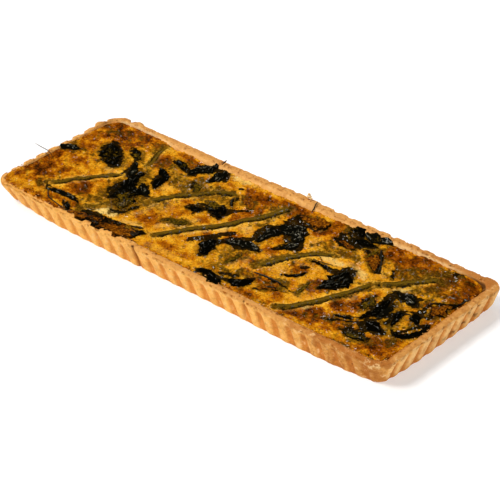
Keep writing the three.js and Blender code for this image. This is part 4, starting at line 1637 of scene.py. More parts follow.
PATCHES = (
    *patches_of(
        Bake.BROWNED,
        (-166, 50, 14, 12, -15, 0.75), (-145, 52, 16, 10, -10, 0.8), (-128, 53, 10, 6, -20, 0.6),
        (-152, 42, 18, 7, -25, 0.6), (-168, 32, 8, 10, -40, 0.65), (-152, 36, 10, 5, -30, 0.6),
        (-163, 14, 10, 7, -30, 0.55), (-172, -5, 7, 10, 0, 0.6), (-155, -2, 8, 10, -30, 0.5),
        (-168, -22, 13, 9, 0, 0.75), (-164, -34, 14, 9, 0, 0.95), (-171, -46, 8, 6, 0, 0.7),
        (-151, -22, 9, 8, 0, 0.5), (-122, -31, 12, 10, 25, 0.95), (-125, -17, 7, 8, 30, 0.5),
        (-128, -52, 12, 4, -10, 0.65), (-113, -50, 9, 5, -30, 0.6), (-105, 36, 9, 9, 0, 0.62),
        (-146, 33, 8, 5, 0, 0.4), (-86, 49, 10, 5, 0, 0.75), (-95, 52, 8, 3, 0, 0.4),
        (-46, 40, 9, 5, 10, 0.35), (-12, 45, 15, 8, 5, 0.62), (-8, 34, 9, 10, 0, 0.5),
        (-22, 38, 9, 6, 0, 0.5), (-5, 24, 8, 9, 0, 0.62), (-11, 13, 6, 6, 0, 0.6), (-50, 5, 7, 4, 0, 0.4),
        (-48, -8, 9, 5, 0, 0.42), (-49, -13, 7, 4, -15, 0.5), (-56, -23, 9, 6, -10, 0.72),
        (-63, -30, 9, 5, -10, 0.72), (-52, -33, 7, 5, 0, 0.6), (-23, -47, 9, 4, -10, 0.65),
        (-26, -33, 8, 5, 0, 0.3), (-13, -17, 6, 6, 45, 0.6), (-26, -5, 6, 5, 0, 0.6),
        (-36, -55, 9, 3, 0, 0.2), (-2, -48, 10, 4, 0, 0.45), (15, 50, 11, 6, 0, 0.78),
        (17, 41, 6, 9, 20, 0.7), (33, 39, 12, 6, 0, 0.75), (47, 51, 8, 6, 0, 0.6), (53, 42, 8, 9, 0, 0.5),
        (59, 36, 5, 8, 0, 0.65), (4, -9, 8, 8, 30, 0.62), (28, -25, 8, 6, 0, 0.6), (34, -5, 8, 6, 0, 0.55),
        (29, 9, 5, 7, 0, 0.4), (52, -36, 14, 7, 0, 0.72), (73, -44, 10, 6, 0, 0.55),
        (57, -55, 17, 4, 0, 0.6), (40, -30, 8, 4, 0, 0.5), (91, -54, 8, 6, 20, 0.8), (64, -9, 7, 7, 0, 1.0),
        (87, -19, 7, 9, 0, 1.0), (92, 38, 6, 9, -40, 0.6), (104, 50, 14, 9, 0, 0.85),
        (120, 50, 14, 10, 0, 0.9), (136, 50, 10, 9, 0, 0.8), (113, 42, 9, 6, -30, 0.75),
        (119, 34, 7, 7, -30, 0.6), (155, 48, 14, 12, 0, 0.9), (166, 38, 9, 14, 0, 0.85),
        (150, 34, 9, 9, 0, 0.7), (155, 14, 4, 5, 0, 0.6), (166, 28, 8, 7, 0, 0.55),
        (170, 12, 5, 14, 0, 0.7), (115, -24, 13, 9, 0, 0.9), (123, -8, 7, 10, 0, 0.75),
        (137, -18, 4, 8, 0, 0.45), (168, -3, 6, 7, 0, 0.6), (164, -37, 10, 8, 0, 0.8),
        (163, -47, 13, 8, -10, 0.8), (150, -56, 14, 4, 0, 0.55), (105, -43, 13, 8, 0, 1.0),
        (102, -53, 12, 5, 0, 0.85), (120, -47, 10, 7, 10, 0.7), (128, -38, 8, 7, 0, 0.7),
        (-136, -58, 12, 3, 0, 0.35), (-155, -46, 9, 5, 0, 0.5), (112, -8, 5, 8, 0, 0.4),
        (76, 26, 8, 4, 0, 0.4),
    ),
    *patches_of(
        Bake.PALE,
        (-86, -42, 9, 5.6, 0, 1.6), (-62, -42, 14, 3.4, 5, 0.5), (-76, 9, 7, 7, 0, 0.35),
        (-42, 53, 12, 4, 0, 0.5), (-8, -6, 6, 5, 40, 0.5), (26, -31, 5, 6, 0, 0.4), (7, 3, 7, 6, 0, 0.35),
        (53, -18, 9, 7, 0, 0.35), (76, 13, 11, 4, 0, 0.6), (51, 20, 5, 10, 0, 0.35),
        (84, -36, 5, 6, 0, 0.3), (132, 15, 8, 3, 45, 0.7), (97, 13, 9, 4, -20, 0.45),
        (-120, 1, 13, 5, 0, 0.3), (-174, 2, 4, 2, -60, 0.6), (112, -14, 5, 5, 0, 0.35),
        (-46, 30, 3, 8, -40, 0.4), (-83, 31, 8, 3, 0, 0.25), (-31, -22, 6, 2.5, 30, 0.4),
        (-94, -44, 3, 6, -40, 0.5), (97, -42, 3, 6, -30, 0.5), (-20, -54, 26, 4, 0, 0.3),
        (-150, 16, 5, 3, -30, 0.3), (-134, -20, 3, 9, -35, 0.4), (45, 37, 2, 4, 0, 0.3),
        (-58, -10, 8, 8, 0, 0.3),
    ),
    *patches_of(
        Bake.GREEN,
        (-107, -18, 8, 15, 15, 0.85), (-92, -26, 19, 14, -40, 0.9), (-60, 24, 13, 13, -40, 0.7),
        (-101, 30, 10, 12, 0, 0.5), (-38, 22, 15, 8, 0, 0.7), (-40, 34, 10, 5, 0, 0.7),
        (-40, -20, 11, 7, 20, 0.6), (-66, -14, 8, 14, -30, 0.75), (-165, 45, 9, 6, 0, 0.5),
        (-120, 48, 10, 10, -30, 0.7), (-172, 8, 10, 8, 0, 0.55), (-150, -40, 9, 7, 30, 0.6),
        (-122, 18, 14, 12, -40, 0.6), (-146, 12, 14, 10, -40, 0.5), (6, 22, 8, 12, 0, 0.7),
        (7, 38, 6, 10, -10, 0.8), (19, -28, 12, 10, 0, 0.6), (24, -46, 16, 7, 0, 0.55),
        (45, 12, 7, 12, 0, 0.45), (64, 25, 14, 7, 20, 0.75), (60, -14, 7, 9, 0, 0.35),
        (76, 48, 16, 12, 0, 0.75), (70, 35, 14, 8, 0, 0.8), (84, 27, 14, 5, 0, 0.65),
        (107, 35, 6, 10, 40, 0.45), (123, 32, 10, 12, 0, 0.95), (136, 40, 12, 8, 30, 0.6),
        (146, 24, 14, 10, 0, 0.7), (158, 26, 8, 6, 0, 0.5), (146, 50, 9, 8, 30, 0.7),
        (93, -12, 10, 12, 0, 0.55), (82, -28, 6, 8, 0, 0.45), (160, -10, 12, 14, 0, 0.55),
        (143, -20, 16, 28, 0, 0.75), (124, -38, 14, 6, 20, 0.55), (158, -36, 10, 9, 0, 0.55),
        (142, -57, 18, 3.5, 0, 0.35), (40, -38, 12, 7, 0, 0.6), (36, -45, 14, 9, 30, 0.55),
        (112, -45, 14, 3, 25, 0.4), (-87, 44, 10, 6, -20, 0.6), (-108, -38, 12, 8, 0, 0.75),
        (-60, 38, 7, 9, 0, 0.7), (-135, -57, 10, 4, 0, 0.4), (68, -58, 34, 3, 0, 0.35),
        (112, 4, 6, 12, 0, 0.5), (46, -20, 8, 12, 20, 0.5), (-4, 38, 4, 12, -10, 0.4),
        (17, 5, 6, 10, 0, 0.4), (-25, -25, 5, 14, -35, 0.5), (66, -34, 12, 6, 0, 0.5),
        (-95, 8, 10, 16, -20, 0.55), (-22, 26, 9, 6, 0, 0.5), (56, 52, 6, 6, 0, 0.3),
        (-75, 26, 8, 5, 0, 0.4), (100, -52, 8, 5, 0, 0.3), (-160, -30, 20, 16, 0, 0.2),
        (-150, 45, 24, 14, 0, 0.3), (150, 40, 24, 18, 0, 0.3),
    ),
    *patches_of(
        Bake.DARK,
        (-35, 44, 2.6, 2.4, 0, 0.9), (-45, -58, 1.2, 1, 0, 0.9), (147, 55, 4, 2, -50, 0.8),
        (-99, -12, 8, 16, 10, 0.55), (-34, 12, 13, 5, 0, 0.5), (-5, -25, 9, 13, -20, 0.5),
        (74, 41, 12, 8, 0, 0.5), (134, -8, 7, 20, 0, 0.5), (143, -37, 9, 11, 0, 0.5),
        (31, 22, 12, 12, 0, 0.4), (-88, -54, 12, 5, 0, 0.5), (-147, 20, 8, 8, -40, 0.35),
        (-137, -46, 7, 2, 0, 0.4), (92, 0, 9, 7, 0, 0.4),
    ),
)

SMEARS = (
    *smears_of(
        Bake.DARK, 1.0, 0.9,
        ((116.5, -36, 1.5), (124, -31.5, 2), (131.5, -26.5, 3), (135, -20, 3), (137, -12, 3)),
        ((131, -14, 5), (132.5, -3, 7), (132, 6, 7), (133, 11, 5)),
        ((133, 9, 6), (140, 10, 10), (145, 13, 7), (150, 16, 2)),
        ((139, -27, 3), (142.5, -19.5, 3), (145, -10, 3), (149.5, -1.5, 3), (155.5, 0.5, 2)),
        ((147.5, -22, 2.5), (147.5, -12.5, 3), (149, -6.5, 2.5), (154, -2.5, 2)),
        ((135, -33, 5), (143, -32, 13), (150, -34, 6)),
        ((155.5, -25, 2), (160.5, -29, 3), (167, -25, 3), (171, -20, 3), (171, -9, 2)),
        ((160, -24, 2), (163, -17, 3), (167, -9, 3.5), (170, -6, 2)),
        ((117, -43, 1.5), (125, -38, 2.5), (133, -33, 2)),
        ((91, 47, 2), (97, 38.5, 2.5), (103, 30, 3), (107.5, 22, 2.5)),
        ((159, -1, 7), (157, 7, 4), (156.5, 15, 3), (160, 19, 3), (168, 22, 3), (171.5, 28, 2),
         (170, 34.5, 1.5)),
        ((113.5, 31, 1.2), (116.5, 25.5, 2.5)), ((117.5, 11, 1.5), (118, 7, 1.5)),
        ((17.5, 1, 7), (15, 9, 9), (16, 16, 9), (20, 19, 7), (28, 18.5, 6)),
        ((17.5, 31, 4), (23, 32, 12), (31, 29, 15), (38, 27, 8)), ((21, 34, 8), (22, 39, 6), (23, 44, 3)),
        ((35, 26, 10), (42, 17, 8), (47, 10, 7)), ((48, 12, 3), (42, 4, 3.5), (34, -1, 3)),
        ((34, 37, 2), (41, 36, 4), (42, 41, 3)), ((-15, -28, 4), (-11, -21, 5), (-5, -13, 4), (1, -6, 2)),
        ((-2, -24, 6), (2, -16, 5), (8, -10, 8), (15, -4, 6)),
        ((10, -13, 9), (19, -13, 9), (24, -8, 5), (28, -10, 3)),
        ((14.5, -58, 3), (17, -54.5, 5), (24, -55, 7), (29, -60, 4)),
        ((26, -54, 4), (34, -52.5, 3), (41, -52.5, 3)), ((42, -50, 6), (47, -48, 10), (49, -41, 6)),
        ((53.5, -32.5, 1.2), (61.5, -32, 1.6), (70, -32, 1.5), (76.5, -34, 1)),
        ((58, -48, 2), (63, -44, 2.5), (66, -40.5, 2), (70, -39.5, 1.5)),
        ((59.5, -22, 1.5), (64.5, -19, 2.6), (68.7, -14.5, 2.4), (70.5, -9, 1.5)),
        ((-30, 8, 5), (-25, 7, 10), (-20, 14, 7), (-17, 18, 4), (-10, 23.5, 1.5)),
        ((-24, 22, 2), (-26, 28, 1.5), (-28, 34, 1)), ((66, 3, 1.5), (73, 5, 3), (83, 4, 7), (90, 4, 7)),
        ((70, 47, 5), (78, 47, 7), (84, 48, 4)), ((60, 43, 5), (66, 38, 7), (72, 36, 5)),
        ((-114, 3, 4), (-113, 8, 6), (-116, 15, 5), (-121, 24, 1.5)),
        ((-106, 12, 3), (-103, 8, 4), (-103, -5, 6), (-105, -13, 8), (-107, -18, 4)),
        ((-106, -10, 6), (-100, -10, 14), (-93, -8, 6)), ((-100, -14, 14), (-97, -24, 8)),
        ((-84, -38, 2.5), (-76.5, -36, 3.5), (-75, -29, 3), (-73.5, -20, 2)),
        ((-88, 2, 4), (-86, -5, 7), (-84, -8, 4)),
        ((-98, 26, 3), (-94, 25, 3), (-92, 18, 5), (-90, 15, 6), (-85, 22, 2)),
        ((-90, 12, 5), (-87, 8, 5), (-82.5, 3.5, 3)),
        ((-98, 41.5, 3), (-91, 41, 6), (-84, 38, 6), (-77, 36, 4)),
        ((-72, 57, 7), (-63, 54, 8), (-55, 50, 6), (-51, 44, 4)),
        ((-74, 52, 9), (-75, 44, 8), (-74, 36, 5)), ((-61, 50, 6), (-59, 43, 8), (-61, 37, 4)),
        ((-143, -44, 3), (-133, -43.5, 1.5), (-122, -43.5, 2.5), (-112, -45, 2)),
        ((-118, -53, 2), (-111, -57.5, 3.5), (-97, -62, 4)),
        ((-90, -48, 2), (-77, -48.5, 2.5), (-61, -45.5, 2), (-51, -42.5, 4)),
        ((-92, -55, 7), (-84, -58, 8), (-77, -59, 5)), ((-69, -52, 4), (-66.5, -59, 6), (-60, -61, 3)),
        ((66, 60, 4), (78, 58, 6), (92, 57, 2)), ((140, 57, 1.5), (148, 57, 2.5), (154, 59, 2)),
    ),
    *smears_of(
        Bake.DARK, 0.65, 2.0,
        ((124, -2, 6), (124, -10, 9), (126, -17, 7)),
        ((133, -39, 4), (134, -46, 9), (142, -44, 10), (150, -43, 4)),
        ((36, 17, 14), (40, 9, 9), (36, 3, 6)), ((-16, -28, 2.5), (-9, -20, 4), (-6, -15, 4), (2, -2, 2)),
        ((-16, -30, 5), (-8, -18, 8), (2, -5, 5)), ((62, 40, 8), (68, 36, 9), (76, 36, 8)),
        ((3, 20, 5), (7, 32, 6)), ((63, -8, 5), (67, -5, 6)), ((-46, 3, 8), (-40, 6, 13), (-34, 9, 9)),
        ((-150, 31, 11), (-145, 22, 20), (-136, 14, 20), (-128, 8, 11)),
        ((-134, 35, 7), (-128, 30, 10), (-121, 26, 6)), ((-66, 28, 6), (-62, 24, 7)),
        ((-96, -52, 8), (-80, -53, 10), (-66, -52, 10)), ((60, 53, 6), (68, 46, 9), (78, 43, 8)),
        ((58, 36, 4), (67, 33, 6), (77, 33, 5)), ((-48, 2, 4), (-41, 1, 8), (-36, -6, 3)),
        ((-22, 38, 4), (-16, 33, 5), (-11, 28, 3)), ((20, 44, 4), (26, 38, 5), (36, 41, 5), (46, 42, 4)),
        ((86, 40, 4), (98, 28, 8), (104, 22, 4)), ((163, 16, 8), (165, 8, 9)),
        ((138, -4, 5), (139, -16, 7)), ((136, -2, 4), (134, -14, 8), (132, -27, 6)),
        ((30, -47, 8), (38, -43, 6)),
    ),
    *smears_of(
        Bake.PALE, 0.42, 3.0,
        ((-45, -33, 8), (-37, -21, 9), (-29, -9, 6)), ((-21, -25, 5), (-13, -11, 5), (-6, 3, 5), (4, 8, 6)),
        ((11, 29, 5), (9, 20, 5)), ((-48, 55, 6), (-24, 55, 4)),
        ((-68, -12, 6), (-66, -24, 7), (-70, -33, 5)), ((84, 14, 8), (96, 16, 8), (104, 10, 5)),
        ((74, -2, 4), (58, -4, 5)), ((30, -22, 5), (34, -34, 4)), ((100, 30, 4), (113, 20, 5)),
        ((126, 12, 4), (136, 20, 5)), ((-128, 2, 5), (-122, 14, 4)),
    ),
    *smears_of(
        Bake.GREEN, 1.0, 1.8,
        ((141.5, -1, 4), (143, -12, 4), (141, -24, 4)), ((152, 6, 4), (154, 18, 4)),
        ((156, -28, 4), (162, -36, 7)), ((-113, 32, 5), (-107, 22, 9), (-101, 10, 9), (-97, 0, 8)),
        ((-84, 20, 10), (-72, 20, 14), (-60, 18, 12)), ((-104, -60, 8), (-99, -52, 9), (-95, -45, 4)),
        ((-80, -12, 12), (-75, -20, 9), (-76, -30, 7)), ((124, 30, 10), (133, 38, 14), (142, 46, 10)),
        ((-105, -51, 5), (-97, -43, 6), (-90, -34, 6), (-79.5, -18, 7), (-67, 2, 6), (-59, 13, 6)),
        ((-59, 13, 7), (-52, 20, 8), (-44, 29, 9), (-34, 33, 7)),
        ((-107, -20, 8), (-104, -30, 9), (-100, -36, 6)), ((-97, -18, 14), (-86, -25, 18), (-78, -29, 11)),
        ((117, -40, 2), (129, -33, 3), (136, -25, 3), (146, -11, 2)),
        ((135, -16, 3), (136.5, -8, 4), (141.5, -2, 4)),
        ((115.5, 33, 6), (124, 36, 8), (130, 43, 8), (144, 54, 5)),
        ((0, 19, 6), (2, 26, 8), (4.5, 36, 8), (4, 44, 6)),
        ((36, -27, 4), (44, -10, 7), (54, 7, 7), (61, 16, 7)), ((61, 16, 7), (72, 22, 8), (86, 26, 6)),
        ((19, -18, 5), (27, -14, 8), (30, -10, 5)),
        ((22, -37, 1.5), (20, -30, 2), (21, -25, 2), (21.5, -18, 2)),
        ((23, -28, 1.5), (25, -18, 2), (28, -12.5, 2)),
        ((-149, -46, 7), (-142, -38, 6), (-130, -20, 5), (-115, 0, 5)),
        ((-152, 27, 12), (-140, 18, 18), (-127, 10, 14)), ((-118, 56, 5), (-115, 42, 6), (-110, 26, 5)),
        ((118, 9, 5), (126, 19, 7), (134, 31, 8), (139, 38, 8)),
        ((84, -55, 5), (100, -30, 6), (113, -4, 5), (116, 10, 5)),
        ((57, 56, 8), (68, 46, 16), (86, 44, 12)), ((67, -37, 5), (72, -36, 6), (78, -37, 3)),
        ((90, 48, 6), (96, 36, 8), (104, 22, 6)), ((141, 2, 7), (144, -10, 10), (151, -22, 10)),
        ((158, -6, 7), (164, -14, 9), (164, -24, 7)), ((168, 4, 4), (170, 12, 4), (168, 18, 3)),
        ((79, -33, 2), (80, -26, 2), (86, -19, 2)),
    ),
    *smears_of(
        Bake.BROWNED, 0.8, 2.5,
        ((-111, 40, 6), (-105, 35, 12), (-99, 31, 8)), ((2, 50, 8), (12, 46, 14), (20, 52, 8)),
        ((46, 34, 8), (51, 44, 10), (58, 54, 6)), ((-28, 46, 8), (-18, 44, 10), (-8, 42, 6)),
        ((-12, 24, 6), (-7, 14, 7), (-10, 6, 5)), ((59, -3, 5), (64, -7, 7), (66, -12, 4)),
        ((106, -20, 8), (113, -26, 12), (118, -28, 6)), ((92, -47, 8), (102, -44, 10), (112, -43, 6)),
        ((102, 50, 12), (112, 46, 12), (122, 52, 8)), ((148, 44, 10), (158, 50, 16), (168, 46, 12)),
        ((150, -40, 8), (158, -46, 12), (166, -50, 10)), ((84, -12, 5), (88, -17, 6), (92, -20, 4)),
    ),
    *smears_of(
        Bake.GREEN, 0.6, 3.0,
        ((-97, 32, 12), (-80, 24, 16), (-64, 24, 14), (-50, 14, 10)),
        ((-48, 30, 14), (-38, 27, 14), (-22, 26, 12)), ((-34, -40, 6), (-20, -14, 5), (-8, 4, 5)),
        ((8, -22, 8), (18, -30, 10), (22, -38, 8)), ((20, -44, 8), (34, -43, 10), (44, -38, 8)),
        ((143, 33, 10), (150, 36, 12), (157, 42, 10)), ((-178, 12, 10), (-170, 4, 12), (-160, 6, 8)),
        ((130, 52, 6), (142, 56, 8), (152, 56, 6)), ((118, -38, 8), (126, -36, 8), (134, -40, 8)),
        ((130, 20, 4), (140, 22, 8), (150, 24, 6)),
    ),
)

# Each groove's last number is the strength of the painted shade laid in it.
GROOVES = (
    Groove(((147, 60), (160, 60.6), (168, 59), (172, 52), (173, 42)), 1.1, 2.4, 0.9),
    Groove(((160, -56), (167, -59), (171, -57), (172, -50)), 0.9, 1.6, 0.8),
    Groove(((111, 33), (115, 29), (119, 24)), 0.7, 0.8, 0.9),
    Groove(((-50, -60), (0, -59.6), (60, -59.8), (110, -59.5)), 0.8, 0.5, 0.25),
)


@dataclass
class Custard:
    """The baked filling, with the relief and the colours of its top.

    Attributes:
        form: sizes of the quiche.
        case: the case that it fills.
        columns: points along the top's grid.
        rows: points across it.
        corner_columns: points along it in a rounded corner.
        inner_radius: radius of the filling's corners.
        overlap: how far its edge runs into the wall.
        edge_level: height at which it meets the wall.
        waist_level: height down to which its side is steep.
        spill_reach: how far it ran over the rim at the front left.
        relief_depths: depth of the top's broad, middle and small relief.
        blister_height: height of its blisters.
        blister_spacing: distance between them.
        pit_depth: depth of its pits.
        pit_spacing: distance between them.
        edge_swell: how far it climbs at the wall.
        lip_height: height of the lips along a stalk.
        trough_depth: depth of the trough under a stalk.
        side_drop: how far its side goes down before it is drawn in.
        noise: seeded noise.
    """

    form: QuicheForm
    case: PastryCase
    columns: int = 470
    rows: int = 160
    corner_columns: int = 14
    inner_radius: float = 9.5
    overlap: float = 0.15
    edge_level: float = 17.0
    waist_level: float = 12.0
    spill_reach: float = 3.4
    relief_depths: tuple[float, float, float] = (0.55, 0.32, 0.16)
    blister_height: float = 0.5
    blister_spacing: float = 5.5
    pit_depth: float = 0.55
    pit_spacing: float = 4.2
    edge_swell: float = 0.45
    lip_height: float = 0.4
    trough_depth: float = 0.6
    side_drop: float = 0.7
    noise: Noise = field(default_factory=lambda: Noise(CUSTARD_SEED))

    def _edge_distance(self, x: Array, y: Array) -> Array:
        """Gives how far places lie inside the wall's inner face.

        Args:
            x: first coordinates.
            y: second coordinates.

        Returns:
            The distances.
        """
        end = self.form.length / 2 - self.form.wall
        side = np.where(x > 0, end - self.form.wall_drift_x, end + self.form.wall_drift_x)
        qx = np.abs(x) - side + self.inner_radius
        qy = np.abs(y) - self.form.width / 2 + self.form.wall + self.inner_radius
        outside = np.hypot(np.maximum(qx, 0), np.maximum(qy, 0)) + np.minimum(np.maximum(qx, qy), 0)
        return self.inner_radius - outside

    def height(self, x: Array, y: Array) -> Array:
        """Gives the height of the finished top.

        Args:
            x: first coordinates in millimetres.
            y: second coordinates in millimetres.

        Returns:
            The heights in millimetres.
        """
        layered, cells = self.noise.layered, self.noise.cells
        broad, middle, small = self.relief_depths
        relief = broad * layered(x, y, 15, 2) + middle * layered(x + 50, y, 4.6, 3, 0.6)
        relief = relief + small * layered(x, y + 90, 1.9, 2)
        blister = self.blister_height * ramp(0.42 - cells(x, y, self.blister_spacing), 0, 0.3)
        blister = blister * ramp(layered(x, y, 22, 2), 0.0, 0.5)
        pits = self.pit_depth * ramp(0.2 - cells(x + 40, y - 30, self.pit_spacing), 0, 0.12)
        height = self.form.filling_height(x, y) + relief + blister - pits
        inside = self._edge_distance(x, y)
        height = height + self.edge_swell * np.exp(-np.maximum(inside, 0) / 1.3) * ramp(-y, -30, 40)
        for stalk in STALKS:
            height = height + self._stalk_bed(x, y, stalk)
        wander = 1 + 0.5 * layered(x, y, 3, 2)
        for groove in GROOVES:
            apart, _ = path_distance(x, y, groove.line)
            height = height - groove.depth * bell(apart, 0, groove.width * wander)
        over = self.case.spill(x, y) * ramp(-inside, -3, 0.4)
        rim = self.form.rim_level(x, y) + 0.45 + 0.25 * layered(x, y, 4, 3)
        return lerp(height, np.maximum(rim, height), over)

    def bed(self, x: Array, y: Array) -> Array:
        """Gives the smooth height that a leaf lies on: the filling, and the rim where it laps over it."""
        broad = self.relief_depths[0] * self.noise.layered(x, y, 15, 2)
        return self.form.ground(x, y) + broad * ramp(self._edge_distance(x, y), 0, 3)

    def _stalk_bed(self, x: Array, y: Array, stalk: StalkSpec) -> Array:
        """Gives the trough that a stalk lies in and the lips that the custard makes along it.

        Args:
            x: first coordinates.
            y: second coordinates.
            stalk: the stalk.

        Returns:
            What they add to the height.
        """
        apart, along = path_distance(x, y, stalk.line)
        radius = stalk.radius(along)
        lip = self.lip_height * bell(apart - radius, 0.5, 0.8) * (1 + 0.8 * self.noise.layered(x, y, 6, 2))
        ends = ramp(along, 0, 0.06) * ramp(1 - along, 0, 0.06)
        trough = self.trough_depth * (1 - ramp(apart, radius - 1.6, radius - 0.3))
        return lip - trough * (0.4 + 0.6 * ends)

    def masks(self, x: Array, y: Array) -> dict[str, Array]:
        """Gives the masks that the finish reads at places on the top.

        Args:
            x: first coordinates.
            y: second coordinates.

        Returns:
            The masks by name.
        """
        layered = self.noise.layered
        wander = 0.5 * layered(x, y, 9, 2) + 0.4 * layered(x + 70, y, 3, 3, 0.65)
        clear = {bake: np.ones(np.shape(x)) for bake in Bake}
        for mark in PATCHES + SMEARS:
            clear[mark.bake] = clear[mark.bake] * (1 - mark.cover(x, y, wander))
        aslant, across = (x + y) * 0.75, y - x
        mottle = layered(aslant + 200, across * 0.45, 7, 4, 0.65)
        weed = layered(aslant, across * 0.45 + 300, 5, 4, 0.65)
        left = ramp(-x, 110, 150)
        inside = self._edge_distance(x, y)
        over = self.case.spill(x, y) * ramp(-inside, -3, 0)
        browned = 0.52 * (1 - clear[Bake.BROWNED]) * (1 + 0.3 * mottle) + 0.26 + 0.34 * mottle
        browned = browned + 0.3 * left * layered(aslant, across * 0.4, 6, 4, 0.65) + 0.05 * left
        browned = browned + (0.25 - 0.2 * left) * np.exp(-np.maximum(inside, 0) / 1.5)
        browned = browned + over * (0.2 + 0.35 * mottle)
        pale = ramp((1 - clear[Bake.PALE]) * (1 + 0.3 * mottle), 0.15, 1.0)
        green = (1 - clear[Bake.GREEN]) * (0.85 + 0.7 * weed) + 0.6 * ramp(weed, 0.05, 0.6)
        frayed = layered(x * 0.8, y - 300, 4, 4, 0.7)
        dark = ramp(1 - clear[Bake.DARK] + 0.3 * frayed, 0.3, 0.85)
        ragged = 1.1 * layered(x, y + 150, 3, 3, 0.65)
        for stalk in STALKS:
            apart, along = path_distance(x, y, stalk.line)
            past = apart - stalk.radius(along)
            pale = pale + 0.12 * bell(past, 1.1, 0.9)
            browned = browned - 0.15 * bell(past, 0, 2)
            green = np.maximum(green, 0.9 * (1 - ramp(past + ragged, -0.6, 1.4)))
        # Painted shade along each groove.
        for groove in GROOVES:
            apart, _ = path_distance(x, y, groove.line)
            dark = np.maximum(dark, groove.dark * bell(apart, 0, groove.width))
        for leaf in LEAVES:
            black, olive = self._leaf_stain(x, y, leaf)
            dark = np.maximum(dark, black)
            green = np.maximum(green, olive)
        return {"browned": browned, "pale": pale, "green": green, "dark": dark}

    def _leaf_stain(self, x: Array, y: Array, leaf: LeafSpec) -> tuple[Array, Array]:
        """Gives the black fringe and the wider olive stain round a leaf.

        Args:
            x: first coordinates.
            y: second coordinates.
            leaf: the leaf.

        Returns:
            The strength of the fringe, and that of the stain.
        """
        near = round_route(x, y, leaf.line, max(leaf.widths) / 2 + 8)
        u, v = x[near], y[near]
        apart, along = path_distance(u, v, leaf.line, 12)
        half, rounding = leaf.half_widths(along)
        past = apart - half * np.maximum(rounding, 0.75)
        veil = leaf.veil(along)
        frayed = 1.8 * self.noise.layered(u, v + 70, 3.4, 3, 0.7)
        wide = 3.2 * self.noise.layered((u + v) * 0.9, (v - u) * 0.45 - 40, 7, 4, 0.65)
        black, olive = np.zeros(np.shape(x)), np.zeros(np.shape(x))
        black[near] = (1 - 0.8 * veil) * (1 - ramp(past + frayed, -1.2, 0.7))
        olive[near] = (0.7 + 0.2 * veil) * (1 - ramp(past + 1.2 * wide, -0.5, 4.2))
        return black, olive

    def _grid(self) -> tuple[Array, Array]:
        """Spreads the top's grid over the filling, drawn in at the rounded corners.

        Returns:
            Both coordinates of its points, row by row.
        """
        form, radius = self.form, self.inner_radius
        right, left, back, front = (
            half - form.inner_inset(out_x, out_y, self.edge_level) + self.overlap
            for half, out_x, out_y in (
                (form.length / 2, 1.0, 0.0), (form.length / 2, -1.0, 0.0),
                (form.width / 2, 0.0, 1.0), (form.width / 2, 0.0, -1.0),
            )
        )
        bend = radius * (1 - np.cos(np.linspace(0, np.pi / 2, self.corner_columns + 1)))[:-1]
        middle = np.linspace(-left + radius, right - radius, self.columns - 2 * self.corner_columns)
        columns = np.concatenate([-left + bend, middle, (right - bend)[::-1]])
        corner = np.maximum(0, np.maximum(-left + radius - columns, columns - right + radius))
        cut = radius - np.sqrt(np.maximum(radius**2 - corner**2, 0))
        part = np.linspace(0, 1, self.rows)[:, None]
        return np.tile(columns, (self.rows, 1)), lerp(-front + cut, back - cut, part)

    def _spilt(self, x: Array, y: Array) -> tuple[Array, Array]:
        """Pushes the edge of the grid over the rim where the custard ran over it.

        Args:
            x: first coordinates.
            y: second coordinates.

        Returns:
            Both coordinates as they are then.
        """
        form = self.form
        end, side = form.length / 2, form.width / 2
        reach = lerp(self.spill_reach, 0.6 * self.spill_reach, ramp(-x, 150, 172))
        reach = reach * (1 + 0.45 * self.noise.layered(x, y, 5, 3, 0.6)) * self.case.spill(x, y)
        push = reach * (1 - ramp(self._edge_distance(x, y), 0, 7))
        slide_x = np.where(np.abs(x) > end - 5 - self.inner_radius, np.sign(x), 0.0)
        slide_x = slide_x * ramp(np.abs(x), end - 18, end - 6)
        slide_y = np.sign(y) * ramp(np.abs(y), side - 18, side - 6)
        length = np.maximum(np.hypot(slide_x, slide_y), 1)
        return x + push * slide_x / length, y + push * slide_y / length

    def build(self) -> bpy.types.Object:
        """Builds and dresses the filling.

        Returns:
            The object that replaces the custard.
        """
        form = self.form
        within_x, within_y = self._grid()
        x, y = self._spilt(within_x, within_y)
        top = np.stack([x, y, self.height(x, y)], axis=-1).reshape(-1, 3)
        edge = border(self.rows, self.columns)
        count = len(edge)
        edge_x, edge_y, edge_z = top[edge].T
        on_rim = self.case.spill(edge_x, edge_y) > 0.2
        top[edge, 2] = np.where(on_rim, form.rim_level(edge_x, edge_y) - 0.1, edge_z)
        base = np.stack([within_x, within_y], axis=-1).reshape(-1, 2)[edge]
        narrow = 0.985 - 0.03 * hill(*base.T, -form.length / 2, -form.width / 2, 36)
        lip = np.column_stack([top[edge, :2] * 0.999, top[edge, 2] - self.side_drop])
        waist = np.column_stack([base * 0.997, np.full(count, self.waist_level)])
        foot = np.column_stack([base * narrow[:, None], np.full(count, form.floor + 0.3)])
        points = np.concatenate([top, lip, waist, foot])
        faces = sheet_faces(self.rows, self.columns).tolist()
        rings = [edge] + [len(top) + k * count + np.arange(count) for k in range(3)]
        for upper, lower in zip(rings, rings[1:]):
            faces += np.stack([upper, lower, np.roll(lower, -1), np.roll(upper, -1)], axis=1).tolist()
        faces.append(rings[-1][::-1].tolist())
        shell = Shell(points, faces, self.masks(points[:, 0], points[:, 1]))
        return make_piece("baked_custard", shell, CustardFinish().make(), ["custard"])


